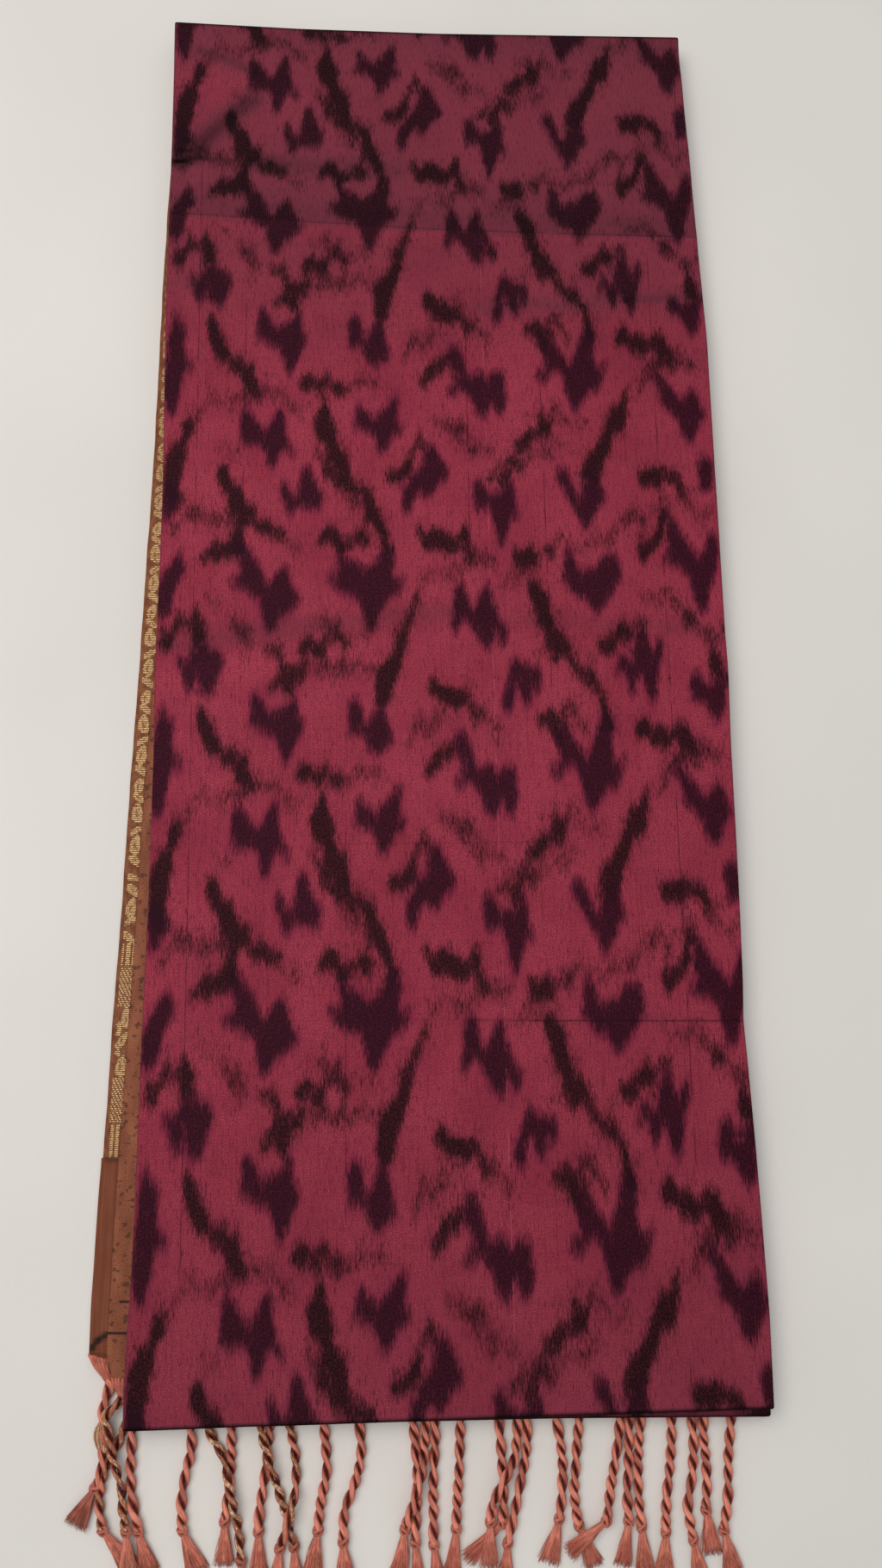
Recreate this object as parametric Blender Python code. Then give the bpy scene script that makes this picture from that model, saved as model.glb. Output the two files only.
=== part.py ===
"""A folded silk saree laid flat, with its pallu showing at the left and its tassels at the near end.

Run with: blender --background --python part.py
Sizes are in millimetres until a mesh is made, and +Z is up. X runs across the folded cloth and Y
along it, away from the tassels. While the pieces are made, y = 0 is the near edge of the body.
At the end the whole is moved, so that the origin is under the middle of its box.
"""

from math import cos, hypot, pi, radians, sin

import bmesh
import bpy
from mathutils import Vector

MM = 0.001

# Driving sizes of the stack, from the floor up
GAP = 0.3
PALLU_WALL = 1.75
CORE_HEIGHT = 5.9
SECOND_WALL = 1.9
TOP_WALL = 2.2

BORDER_LOW = 0.0
TISSUE_LOW = BORDER_LOW + PALLU_WALL + GAP
CORE_LOW = TISSUE_LOW + PALLU_WALL + GAP
SECOND_LOW = CORE_LOW + CORE_HEIGHT + GAP
TOP_LOW = SECOND_LOW + SECOND_WALL + GAP

TOP_STEPS = 13
SECOND_STEPS = 6
BODY_LENGTH = 734.0
PALLU_TOP = 728.0
BAND_TOP = 113.4
ROUNDING = 0.6
END_WALL = 0.4
UNDERSIDE_COLUMNS = (1.0, 0.75, 0.5, 0.25, 0.0)

# The body's long edges: how far each lies from the middle line at a distance along the cloth
BODY_EDGES = {
    "along": (0, 5, 40, 95, 140, 174, 188, 225, 300, 353, 369, 440, 500, 538, 556, 596, 640, 690, 725, 734),
    "left": (
        -144.7, -145.3, -145.4, -144.5, -144.3, -144.0, -143.8, -143.1, -143.0, -144.0,
        -143.5, -143.1, -143.8, -144.7, -144.8, -144.7, -144.5, -144.7, -145.1, -145.2,
    ),
    "right": (
        145.1, 145.9, 146.0, 145.4, 144.4, 143.2, 144.2, 145.3, 146.4, 147.9,
        147.6, 148.1, 148.5, 148.9, 148.4, 147.3, 146.4, 145.1, 144.1, 144.8,
    ),
}

# The body's short edges: where each lies along the cloth, at a distance across it
BODY_ENDS = {
    "across": (-146, -90, -30, 20, 80, 115, 146),
    "near": (0.0, -0.9, -0.5, 0.7, 1.0, 0.4, -0.3),
    "second_near": (-0.4, -1.1, -1.1, -1.0, -2.3, -3.2, -4.0),
    "far": (735.7, 733.5, 731.8, 732.5, 733.0, 734.0, 734.0),
}

# The pallu's left edges: the border and end band, and the tissue above them
PALLU_EDGES = {
    "along": (10, 30, 44, 71, 93, 111, 116, 148, 190, 234, 269, 318, 344, 374, 417, 468, 523, 573, 620, 657, 728),
    "border": (
        -164.6, -164.9, -165.0, -164.3, -163.8, -163.0, -161.8, -161.1, -159.8, -157.9, -157.1,
        -155.4, -154.3, -153.5, -152.1, -150.5, -149.6, -149.0, -147.8, -146.5, -143.6,
    ),
    "tissue": (
        -157.2, -156.8, -156.5, -155.9, -155.4, -154.8, -154.6, -153.3, -151.6, -150.3, -149.5,
        -148.0, -146.2, -144.6, -143.4, -142.4, -141.6, -141.0, -140.6, -140.2, -139.0,
    ),
}
BORDER_STEPS = 24
PALLU_RIGHT_NEAR = 125.5
PALLU_RIGHT_LEAN = 0.0235
# The pallu's edges lean, so a point's two distances are worked out from each other in turn
PLACE_PASSES = 3

# The pallu's end, where the fringe starts: its left corner is pulled back
PALLU_END = {
    "across": (-166, -156, -150, 130),
    "along": (30.1, 19.6, 16.0, 8.0),
}

SECOND_INSET = 1.1

# Creases of the top leaf: each runs from one point to another, and is a trough (less than 0) or ridge
CREASES = (
    # x_from, y_from, x_to, y_to, height, half_width
    (-150.0, 610.5, 5.0, 602.5, 0.40, 5.0),
    (5.0, 602.5, 150.0, 601.0, 0.40, 5.0),
    (-150.0, 619.0, 5.0, 611.0, -0.45, 7.0),
    (5.0, 611.0, 150.0, 610.0, -0.45, 7.0),
    (22.0, 555.0, 150.0, 566.0, -0.50, 9.0),
    (-150.0, 568.0, -122.0, 566.0, -0.45, 6.0),
    (-150.0, 651.0, -100.0, 677.0, -0.45, 8.0),
    (-150.0, 657.0, -133.0, 660.0, 0.40, 4.0),
    (-150.0, 369.0, 150.0, 369.0, -0.25, 4.0),
    (-10.0, 175.4, 150.0, 172.8, -0.40, 3.0),
    (60.0, 727.0, 150.0, 724.0, -0.35, 4.0),
)
CREASE_FADE = 8.0
FAR_FALL = 0.5
FAR_FALL_FROM = 605.0
FAR_FALL_LENGTH = 30.0
FAR_ROLL = 0.9
FAR_ROLL_LENGTH = 7.0

# The folded edges of the hidden leaves, lowest first: how far each lies inside the body's outline
CORE_LEAVES = (
    # near, far, left, right
    (2.6, 1.2, 1.4, 0.9),
    (0.9, 2.9, 2.4, 2.2),
    (3.4, 1.6, 0.9, 1.3),
    (1.6, 3.6, 1.9, 2.6),
    (2.9, 2.1, 1.2, 1.0),
    (1.2, 1.0, 2.1, 1.8),
)
LEAF_GROOVE = 0.9
CORE_SIDE_STEPS = 15
CORE_END_COLUMNS = (0.0, 0.3, 0.6, 0.955, 1.0)
CORE_CORNER = 2.2
CORE_TOP_INSET = 2.0
CORE_REST_INSET = 5.5
CORDS_REACH = 132.5
HELD_PAST = 1.2
DROOP = 3.6
DROOP_LENGTH = 13.0

# The tassels, from the left. Each leaves the pallu at root_x, passes x_1 at LEAVE_Y and x_2, x_3 and
# x_4 a quarter, half and three quarters of the way to its knot, and its skirt ends at the knot plus
# tip_dx and tip_dy. Within over_half of over_y it is lifted by over_z, to cross its neighbour.
TASSEL_COLUMNS = (
    "root_x", "x_1", "x_2", "x_3", "x_4", "knot_x", "knot_y", "tip_dx", "tip_dy",
    "root_half", "fan", "over_y", "over_half", "over_z", "knot_up", "skirt_z", "tip_z",
)
TASSELS = (
    (-160.2, -157.2, -157.5, -157.4, -157.9, -159.8, -26.1, -8.9, -15.3, 3.6, 3.9, 0, 0, 0, 0, 2.3, 2.2),
    (-151.4, -157.9, -155.3, -149.8, -147.3, -145.1, -43.7, 2.2, -18.7, 3.0, 3.6, -8, 14, 4.2, 2.4, 6.4, 6.1),
    (-143.2, -147.7, -150.4, -154.4, -155.6, -155.4, -43.4, 12.8, -15.8, 1.6, 2.8, 0, 0, 0, 0, 2.3, 2.2),
    (-139.0, -143.6, -144.3, -144.0, -142.0, -139.8, -44.4, 4.9, -16.2, 1.6, 3.2, 0, 0, 0, 0, 2.3, 2.2),
    (-118.1, -118.1, -117.6, -120.2, -121.3, -120.7, -44.4, 7.3, -17.0, 1.8, 4.0, 0, 0, 0, 0, 2.3, 2.2),
    (-111.6, -111.1, -103.2, -99.2, -96.4, -94.6, -57.4, 0.7, -17.5, 1.8, 3.8, -28, 7, 4.2, 0, 2.3, 2.2),
    (-99.9, -99.9, -99.7, -99.9, -100.9, -102.1, -41.4, 0.3, -17.8, 1.8, 3.3, 0, 0, 0, 0, 2.3, 2.2),
    (-82.6, -82.8, -83.4, -84.6, -86.4, -87.1, -45.8, 0.0, -17.8, 1.8, 3.4, 0, 0, 0, 0, 2.3, 2.2),
    (-88.4, -87.0, -83.1, -79.4, -75.2, -71.4, -52.4, 1.3, -18.0, 1.8, 3.2, -14, 7, 4.2, 0, 2.3, 2.2),
    (-74.2, -73.9, -71.3, -70.8, -73.4, -77.6, -53.0, -2.0, -17.0, 1.8, 3.4, -40, 7, 4.2, 0, 2.3, 2.2),
    (-59.2, -58.7, -57.4, -57.2, -59.6, -60.8, -46.3, -2.6, -17.6, 1.8, 3.2, 0, 0, 0, 0, 2.3, 2.2),
    (-43.4, -42.7, -41.5, -43.9, -48.9, -49.7, -51.2, 0.8, -17.9, 1.8, 4.0, 0, 0, 0, 0, 2.3, 2.2),
    (-19.0, -18.4, -17.0, -16.5, -16.9, -17.8, -52.6, 1.6, -18.0, 1.8, 2.8, 0, 0, 0, 0, 2.3, 2.2),
    (-12.6, -12.4, -13.0, -14.7, -18.4, -22.2, -47.3, -2.9, -17.8, 1.7, 3.2, -30, 9, 4.4, 0, 2.3, 2.2),
    (-7.8, -8.0, -8.4, -9.3, -9.4, -9.5, -53.9, 2.0, -17.9, 1.8, 2.8, 0, 0, 0, 0, 2.3, 2.2),
    (3.6, 3.4, 3.0, 2.4, 1.4, 0.7, -47.7, -2.0, -17.9, 1.8, 3.1, 0, 0, 0, 0, 2.3, 2.2),
    (20.6, 21.0, 21.5, 22.0, 22.1, 21.7, -46.0, -16.2, -14.4, 1.8, 2.8, 0, 0, 0, 0, 2.3, 2.2),
    (28.8, 29.3, 29.0, 25.4, 18.7, 15.8, -44.4, -0.7, -18.4, 1.7, 3.3, -28, 7, 4.4, 2.6, 6.6, 5.6),
    (34.4, 33.7, 33.4, 30.6, 27.3, 23.6, -54.3, -1.6, -17.9, 1.8, 3.2, 0, 0, 0, 0, 2.3, 2.2),
    (46.4, 46.7, 48.7, 49.4, 48.8, 47.1, -45.2, -4.9, -17.8, 1.8, 3.8, 0, 0, 0, 0, 2.3, 2.2),
    (58.4, 58.0, 56.6, 55.3, 54.3, 55.7, -48.1, 6.7, -16.9, 1.8, 3.2, 0, 0, 0, 0, 2.3, 2.2),
    (76.6, 76.6, 75.6, 73.0, 70.6, 68.4, -46.4, -17.6, -12.0, 1.8, 3.0, 0, 0, 0, 1.6, 6.4, 4.8),
    (81.0, 81.0, 80.2, 79.5, 78.4, 78.5, -47.1, -3.4, -18.0, 1.8, 3.2, 0, 0, 0, 0, 2.3, 2.2),
    (86.4, 86.3, 84.9, 83.8, 83.5, 84.1, -49.6, 1.2, -17.9, 1.8, 3.4, 0, 0, 0, 0, 2.3, 2.2),
    (100.8, 100.5, 99.8, 98.2, 96.1, 95.0, -52.1, -1.5, -17.8, 1.8, 3.6, 0, 0, 0, 0, 2.3, 2.2),
    (109.2, 109.4, 109.9, 108.6, 105.8, 107.3, -55.8, 3.3, -17.8, 1.8, 3.6, 0, 0, 0, 0, 2.3, 2.2),
    (115.2, 115.2, 114.6, 115.2, 115.0, 113.8, -43.7, 2.2, -18.0, 1.8, 3.6, 0, 0, 0, 0, 2.3, 2.2),
    (122.6, 128.1, 126.7, 125.2, 124.3, 121.4, -52.4, 3.8, -17.9, 1.8, 3.6, 0, 0, 0, 0, 2.3, 2.2),
)
# The tassels that hold gold thread, counted from 0
GOLD_TASSELS = (1, 2, 5, 8, 9)
# Points that a tassel passes between its root and LEAVE_Y
TASSEL_BENDS = {
    0: ((-157.0, 15.8),),
    1: ((-149.2, 10.6), (-154.0, 5.6)),
}
LEAVE_Y = -2.0
ROOT_GAP = 0.5
ROOT_TALL = 0.9
CORD_WIDE = 1.75
CORD_NARROW = 1.3
CORD_LIFT = 2.05
BEAD = 3.5
CURVE_STEPS = 12
LIFT_RAMP = 7.0
KNOT_RINGS = (
    # along, radius
    (-1.5, 1.6),
    (-0.4, 2.2),
    (0.9, 2.15),
    (2.1, 1.5),
)
HEART_OUT = 0.5
KNOT_LIFT = 2.55
KNOT_RISE_LENGTH = 12.0
# The locks of a skirt, in turn round the knot: how far each lies aside and up, of the skirt's half sizes
LOCK_SPREAD = (
    # aside, up
    (1.0, 0.0),
    (0.62, 1.0),
    (0.0, 1.0),
    (-1.0, 0.0),
    (-0.62, -1.0),
    (0.0, -1.0),
)
LOCKS = len(LOCK_SPREAD)
# The skirt half way down and at its end: reach, share of the fan, half height, scale of each lock
SKIRT_SECTIONS = (
    (0.5, 0.6, 0.9, 1.0),
    (1.0, 1.0, 0.95, 1.15),
)

# The finishes: base colour, roughness and metallic value
FINISHES = {
    "ikat_silk": ((0.26, 0.022, 0.052), 0.50, 0.0),
    "ikat_silk_inner": ((0.20, 0.018, 0.042), 0.52, 0.0),
    "copper_tissue": ((0.26, 0.095, 0.040), 0.48, 0.25),
    "zari_brocade": ((0.40, 0.25, 0.10), 0.42, 0.45),
    "brown_satin": ((0.20, 0.075, 0.038), 0.50, 0.0),
    "fringe_silk": ((0.48, 0.145, 0.095), 0.60, 0.0),
    "fringe_gold": ((0.50, 0.24, 0.10), 0.45, 0.3),
}


def clear_scene():
    for thing in list(bpy.data.objects):
        bpy.data.objects.remove(thing, do_unlink=True)


def finish(name):
    """The material of this name, made once."""
    material = bpy.data.materials.get(name)
    if material is None:
        colour, roughness, metallic = FINISHES[name]
        material = bpy.data.materials.new(name)
        material.use_nodes = True
        shader = material.node_tree.nodes["Principled BSDF"]
        shader.inputs["Base Color"].default_value = (*colour, 1.0)
        shader.inputs["Roughness"].default_value = roughness
        shader.inputs["Metallic"].default_value = metallic
    return material


def eased(t):
    """0 to 1 with soft ends."""
    t = max(0.0, min(1.0, t))
    return t * t * (3.0 - 2.0 * t)


def read(table, key, column, at, ease=eased):
    """A column of a table at a place between its rows, smoothly unless ease says otherwise."""
    places = table[key]
    values = table[column]
    if at <= places[0]:
        return values[0]
    for i in range(1, len(places)):
        if at <= places[i]:
            t = (at - places[i - 1]) / (places[i] - places[i - 1])
            return values[i - 1] + (values[i] - values[i - 1]) * ease(t)
    return values[-1]


def pallu_right(y):
    return PALLU_RIGHT_NEAR + PALLU_RIGHT_LEAN * y


def straight(t):
    return t


def pallu_end(x):
    return read(PALLU_END, "across", "along", x, straight)


def crease_height(x, y):
    """How far the creases and the far end's fall move the top leaf's upper face."""
    height = -FAR_FALL * eased((y - FAR_FALL_FROM) / FAR_FALL_LENGTH)
    height -= FAR_ROLL * eased((y - BODY_LENGTH + FAR_ROLL_LENGTH) / FAR_ROLL_LENGTH)
    for x_from, y_from, x_to, y_to, deep, half_width in CREASES:
        length = hypot(x_to - x_from, y_to - y_from)
        ux, uy = (x_to - x_from) / length, (y_to - y_from) / length
        along = (x - x_from) * ux + (y - y_from) * uy
        beside = abs((y - y_from) * ux - (x - x_from) * uy)
        ends = eased(0.5 + min(along, length - along) / CREASE_FADE)
        height += deep * ends * eased(1.0 - beside / half_width)
    return height


def add_object(name, bm, finish_name, collection, smooth_angle=50.0):
    """An object from a bmesh in millimetres."""
    bmesh.ops.recalc_face_normals(bm, faces=bm.faces)
    bmesh.ops.scale(bm, vec=(MM, MM, MM), verts=bm.verts)
    mesh = bpy.data.meshes.new(name)
    bm.to_mesh(mesh)
    bm.free()
    mesh.shade_smooth()
    mesh.set_sharp_from_angle(angle=radians(smooth_angle))
    mesh.materials.append(finish(finish_name))
    thing = bpy.data.objects.new(name, mesh)
    collection.objects.link(thing)
    return thing


def loft(bm, rings):
    """Joins rings of equally many points, and returns the rings of vertices."""
    made = [[bm.verts.new(point) for point in ring] for ring in rings]
    for lower, upper in zip(made, made[1:]):
        for i in range(len(lower)):
            j = (i + 1) % len(lower)
            bm.faces.new((lower[i], lower[j], upper[j], upper[i]))
    return made


def capped(bm, rings):
    made = loft(bm, rings)
    bm.faces.new(made[0][::-1])
    bm.faces.new(made[-1])


def leaf(name, finish_name, collection, rows, columns, place, low, height):
    """A folded leaf: a closed wall whose sections stand one behind another along the cloth.

    place(s, v) gives the point of the leaf at s of its width and v of its length, low is the height
    of its flat underside, and height(x, y) is the wall's thickness there.
    """
    rings = []
    stations = [(rows[0], 0.0, END_WALL), (rows[0], ROUNDING, 1.0)]
    stations += [(v, 0.0, 1.0) for v in rows[1:-1]]
    stations += [(rows[-1], -ROUNDING, 1.0), (rows[-1], 0.0, END_WALL)]
    for v, back, full in stations:
        upper = []
        for s in columns:
            x, y = place(s, v)
            wall = height(x, y)
            upper.append((x, y + back, low + wall * (0.5 + 0.5 * full)))
        lower = []
        for s in UNDERSIDE_COLUMNS:
            x, y = place(s, v)
            lower.append((x, y + back, low + height(x, y) * (0.5 - 0.5 * full)))
        left, right = upper[0], upper[-1]
        upper[0] = (left[0] + ROUNDING, left[1], left[2])
        upper[-1] = (right[0] - ROUNDING, right[1], right[2])
        lower[0] = (right[0] - ROUNDING, lower[0][1], lower[0][2])
        lower[-1] = (left[0] + ROUNDING, lower[-1][1], lower[-1][2])
        outer_right = (right[0], right[1], low + 0.5 * height(right[0], right[1]))
        outer_left = (left[0], left[1], low + 0.5 * height(left[0], left[1]))
        rings.append([*upper, outer_right, *lower, outer_left])
    bm = bmesh.new()
    capped(bm, rings)
    return add_object(name, bm, finish_name, collection)


def between(low, high, t):
    return low + (high - low) * t


def body_place(near_column, inset):
    """Where a leaf of the body lies, with its long edges moved in by inset."""

    def place(s, v):
        level = v * BODY_LENGTH
        left = read(BODY_EDGES, "along", "left", level) + inset
        right = read(BODY_EDGES, "along", "right", level) - inset
        x = between(left, right, s)
        near = read(BODY_ENDS, "across", near_column, x)
        far = read(BODY_ENDS, "across", "far", x)
        return x, between(near, far, v)

    return place


def body_leaves(collection):
    top_levels = (
        0, 40, 80, 120, 158, 169, 174, 179, 190, 230, 270, 310, 350, 364, 369, 374, 400, 440, 480, 520,
        538, 548, 557, 566, 578, 592, 600, 605, 612, 620, 632, 646, 656, 666, 680, 700, 720, 727, 732, 734,
    )
    top_columns = [i / TOP_STEPS for i in range(TOP_STEPS + 1)]
    leaf(
        "body_top_leaf", "ikat_silk", collection,
        [level / BODY_LENGTH for level in top_levels], top_columns,
        body_place("near", 0.0), TOP_LOW,
        lambda x, y: TOP_WALL + crease_height(x, y),
    )
    second_levels = (0, 60, 120, 174, 188, 260, 353, 440, 538, 556, 640, 725, 734)
    leaf(
        "body_second_leaf", "ikat_silk_inner", collection,
        [level / BODY_LENGTH for level in second_levels],
        [i / SECOND_STEPS for i in range(SECOND_STEPS + 1)],
        body_place("second_near", SECOND_INSET), SECOND_LOW,
        lambda x, y: SECOND_WALL,
    )


def core_outline(near, far, left, right):
    """Points round the body at one height, moved in from the photo's outline on each side."""

    def side(level, column, inset):
        return read(BODY_EDGES, "along", column, level) - inset

    points = []
    low, high = near + CORE_CORNER, BODY_LENGTH - far - CORE_CORNER
    for s in CORE_END_COLUMNS:
        x = between(side(0, "left", -left) + CORE_CORNER, side(0, "right", right) - CORE_CORNER, s)
        points.append((x, read(BODY_ENDS, "across", "near", x) + near))
    for i in range(CORE_SIDE_STEPS):
        y = between(low, high, i / (CORE_SIDE_STEPS - 1))
        points.append((side(y, "right", right), y))
    for s in reversed(CORE_END_COLUMNS):
        x = between(side(BODY_LENGTH, "left", -left) + CORE_CORNER,
                    side(BODY_LENGTH, "right", right) - CORE_CORNER, s)
        points.append((x, read(BODY_ENDS, "across", "far", x) - far))
    for i in range(CORE_SIDE_STEPS):
        y = between(high, low, i / (CORE_SIDE_STEPS - 1))
        points.append((side(y, "left", -left), y))
    return points


def held_right(y):
    """How far right something lies under the core: the pallu, or the tassels' roots."""
    return max(pallu_right(y) + HELD_PAST, CORDS_REACH)


def core_low(x, y):
    """The core's underside, which droops past what it lies on."""
    return CORE_LOW - DROOP * eased((x - held_right(y)) / DROOP_LENGTH)


def folded_core(collection):
    """The hidden leaves of the body: their outlines stand one above another, a groove between each."""
    high = CORE_LOW + CORE_HEIGHT
    count = len(CORE_LEAVES)
    rings = []
    first = core_outline(*CORE_LEAVES[0])
    inner = []
    for x, y in first:
        x_in = min(x - CORE_REST_INSET, held_right(y)) if x > 0 else x + CORE_REST_INSET
        y_in = min(max(y, CORE_REST_INSET), BODY_LENGTH - 2 * CORE_REST_INSET)
        inner.append((x_in, y_in, CORE_LOW))
    rings.append(inner)
    for k, insets in enumerate(CORE_LEAVES):
        groove = core_outline(*(inset + LEAF_GROOVE for inset in insets))
        rings.append([(x, y, between(core_low(x, y), high, k / count)) for x, y in groove])
        bulge = core_outline(*insets)
        rings.append([(x, y, between(core_low(x, y), high, (k + 0.5) / count)) for x, y in bulge])
    top = core_outline(*(inset + CORE_TOP_INSET for inset in CORE_LEAVES[-1]))
    rings.append([(x, y, high) for x, y in top])
    bm = bmesh.new()
    capped(bm, rings)
    return add_object("body_folded_core", bm, "ikat_silk_inner", collection)


def pallu_leaves(collection):
    columns = (0.0, 0.006, 0.016, 0.03, 0.045, 0.08, 0.3, 0.6, 1.0)

    def place_between(column, start, stop):
        """Where a stretch of the pallu lies: start and stop give y at a place across."""

        def place(s, v):
            corner = PALLU_EDGES[column][0]
            y = between(start(corner), stop(corner), v)
            for _ in range(PLACE_PASSES):
                left = read(PALLU_EDGES, "along", column, y)
                x = between(left, pallu_right(y), s)
                y = between(start(x), stop(x), v)
            return x, y

        return place

    leaf(
        "pallu_end_band", "brown_satin", collection,
        (0.0, 0.1, 0.25, 0.5, 0.75, 0.97, 1.0), columns,
        place_between("border", pallu_end, lambda x: BAND_TOP), BORDER_LOW,
        lambda x, y: PALLU_WALL,
    )
    leaf(
        "pallu_border_leaf", "zari_brocade", collection,
        [i / BORDER_STEPS for i in range(BORDER_STEPS + 1)], columns,
        place_between("border", lambda x: BAND_TOP + GAP, lambda x: PALLU_TOP), BORDER_LOW,
        lambda x, y: PALLU_WALL,
    )
    leaf(
        "pallu_tissue_leaf", "copper_tissue", collection,
        (0, 0.012, 0.03, 0.06, 0.1, 0.14, 0.19, 0.25, 0.31, 0.38, 0.44, 0.5, 0.6, 0.8, 1.0), columns,
        place_between("tissue", pallu_end, lambda x: PALLU_TOP - 3.0), TISSUE_LOW,
        lambda x, y: PALLU_WALL,
    )


def smooth_route(points, step):
    """Points a step apart on a smooth curve through the given ones."""
    ends = [points[0] * 2 - points[1], *points, points[-1] * 2 - points[-2]]
    dense = []
    for a, b, c, d in zip(ends, ends[1:], ends[2:], ends[3:]):
        for i in range(CURVE_STEPS):
            t = i / CURVE_STEPS
            dense.append(
                0.5 * (2 * b + (c - a) * t + (2 * a - 5 * b + 4 * c - d) * t * t
                       + (3 * b - a - 3 * c + d) * t * t * t)
            )
    dense.append(points[-1])
    length = sum((q - p).length for p, q in zip(dense, dense[1:]))
    count = max(2, round(length / step))
    route = [dense[0]]
    walked = 0.0
    for p, q in zip(dense, dense[1:]):
        piece = (q - p).length
        while len(route) <= count and walked + piece >= len(route) * length / count - 1e-9:
            t = (len(route) * length / count - walked) / piece
            route.append(p.lerp(q, min(1.0, t)))
        walked += piece
    return route


def tassel_route(number, row):
    """The cord's route in plan, from the pallu's end to its knot, with its height."""
    points = [Vector((row["root_x"], pallu_end(row["root_x"]) - ROOT_GAP))]
    points += [Vector(bend) for bend in TASSEL_BENDS.get(number, ())]
    for quarter in range(4):
        y = between(LEAVE_Y, row["knot_y"], quarter / 4)
        points.append(Vector((row[f"x_{quarter + 1}"], y)))
    points.append(Vector((row["knot_x"], row["knot_y"])))
    route = smooth_route([point.to_3d() for point in points], BEAD)
    knot_z = KNOT_LIFT + row["knot_up"]
    for point in route:
        off = abs(point.y - row["over_y"])
        lift = row["over_z"] * eased((row["over_half"] + LIFT_RAMP - off) / LIFT_RAMP)
        near_knot = eased(1.0 - (point.y - row["knot_y"]) / KNOT_RISE_LENGTH)
        point.z = max(CORD_LIFT + lift, between(CORD_LIFT, knot_z, near_knot))
    return route


def tassel(number, row, collection):
    """A twisted cord, its knot and the locks of its skirt, as one closed body."""
    route = tassel_route(number, row)
    bm = bmesh.new()
    rings = []
    for i, point in enumerate(route[:-1]):
        ahead = route[i + 1] - route[max(i - 1, 0)]
        side = Vector((ahead.y, -ahead.x, 0.0)).normalized()
        up = side.cross(ahead).normalized()
        wide, tall = (CORD_WIDE, CORD_NARROW) if i % 2 == 0 else (CORD_NARROW, CORD_WIDE)
        if i == 0:
            slope = pallu_end(point.x + 1.0) - pallu_end(point.x)
            side = Vector((-1.0, -slope, 0.0)).normalized()
            wide, tall = row["root_half"], ROOT_TALL
        rings.append([point + side * wide, point + up * tall, point - side * wide, point - up * tall])
    cord = loft(bm, rings)
    bm.faces.new(cord[0][::-1])

    knot = Vector((row["knot_x"], row["knot_y"], KNOT_LIFT + row["knot_up"]))
    tip = Vector((row["tip_dx"], row["tip_dy"], 0.0))
    ahead = tip.normalized()
    side = Vector((ahead.y, -ahead.x, 0.0))
    up = Vector((0.0, 0.0, 1.0))

    def round_point(centre, radius, angle):
        return centre + side * (radius * cos(angle)) + up * (radius * sin(angle))

    angles = [2 * pi * (k - 0.5) / LOCKS for k in range(LOCKS)]
    knot_rings = loft(bm, [
        [round_point(knot + ahead * along, radius, angle) for angle in angles]
        for along, radius in KNOT_RINGS
    ])
    joined = [bm.edges.get((ring[i], ring[(i + 1) % len(ring)]))
              for ring in (cord[-1], knot_rings[0]) for i in range(len(ring))]
    bmesh.ops.bridge_loops(bm, edges=joined)

    along, radius = KNOT_RINGS[-1]
    heart = bm.verts.new(knot + ahead * (along + HEART_OUT))
    slices = []
    for k in range(LOCKS):
        first, second = knot_rings[-1][k], knot_rings[-1][(k + 1) % LOCKS]
        slices.append(bm.faces.new((first, second, heart)))
    for (reach, spread, half_height, scale), height in zip(SKIRT_SECTIONS, (row["skirt_z"], row["tip_z"])):
        slices = [bmesh.ops.extrude_discrete_faces(bm, faces=[face])["faces"][0] for face in slices]
        centre = Vector((knot.x, knot.y, height)) + tip * reach
        for (aside, above), face in zip(LOCK_SPREAD, slices):
            goal = centre + side * (row["fan"] * spread * aside) + up * (half_height * above)
            middle = face.calc_center_median()
            for vert in face.verts:
                vert.co = goal + (vert.co - middle) * scale
    finish_name = "fringe_gold" if number in GOLD_TASSELS else "fringe_silk"
    return add_object(f"tassel_{number + 1:02d}", bm, finish_name, collection, 35.0)


def tassels(collection):
    for number, values in enumerate(TASSELS):
        tassel(number, dict(zip(TASSEL_COLUMNS, values)), collection)


def stand_on_origin(collection):
    """Moves every mesh, so that the origin is under the middle of the whole."""
    points = [vert.co for thing in collection.objects for vert in thing.data.vertices]
    low = [min(point[axis] for point in points) for axis in range(3)]
    high = [max(point[axis] for point in points) for axis in range(3)]
    shift = Vector((-(low[0] + high[0]) / 2, -(low[1] + high[1]) / 2, -low[2]))
    for thing in collection.objects:
        for vert in thing.data.vertices:
            vert.co += shift


def main():
    clear_scene()
    collection = bpy.data.collections.new("folded_saree")
    bpy.context.scene.collection.children.link(collection)
    body_leaves(collection)
    folded_core(collection)
    pallu_leaves(collection)
    tassels(collection)
    stand_on_origin(collection)


main()
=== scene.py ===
"""A folded silk saree on a pale floor: ikat folds, the pallu's brocade and tissue, and knotted tassels.

The file is laid out as an add-on and runs as a script. Sizes are in millimetres in the cloth's own
frame, where x runs across the folded cloth from its middle, y along it from its near edge, and z up
from the floor. `world` turns such points into the model's metres.
"""

from math import cos, pi, radians, sin

import bpy
import numpy as np
from bpy.props import FloatProperty, FloatVectorProperty, IntProperty, PointerProperty
from mathutils import Matrix, Vector
from mathutils.bvhtree import BVHTree

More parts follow.
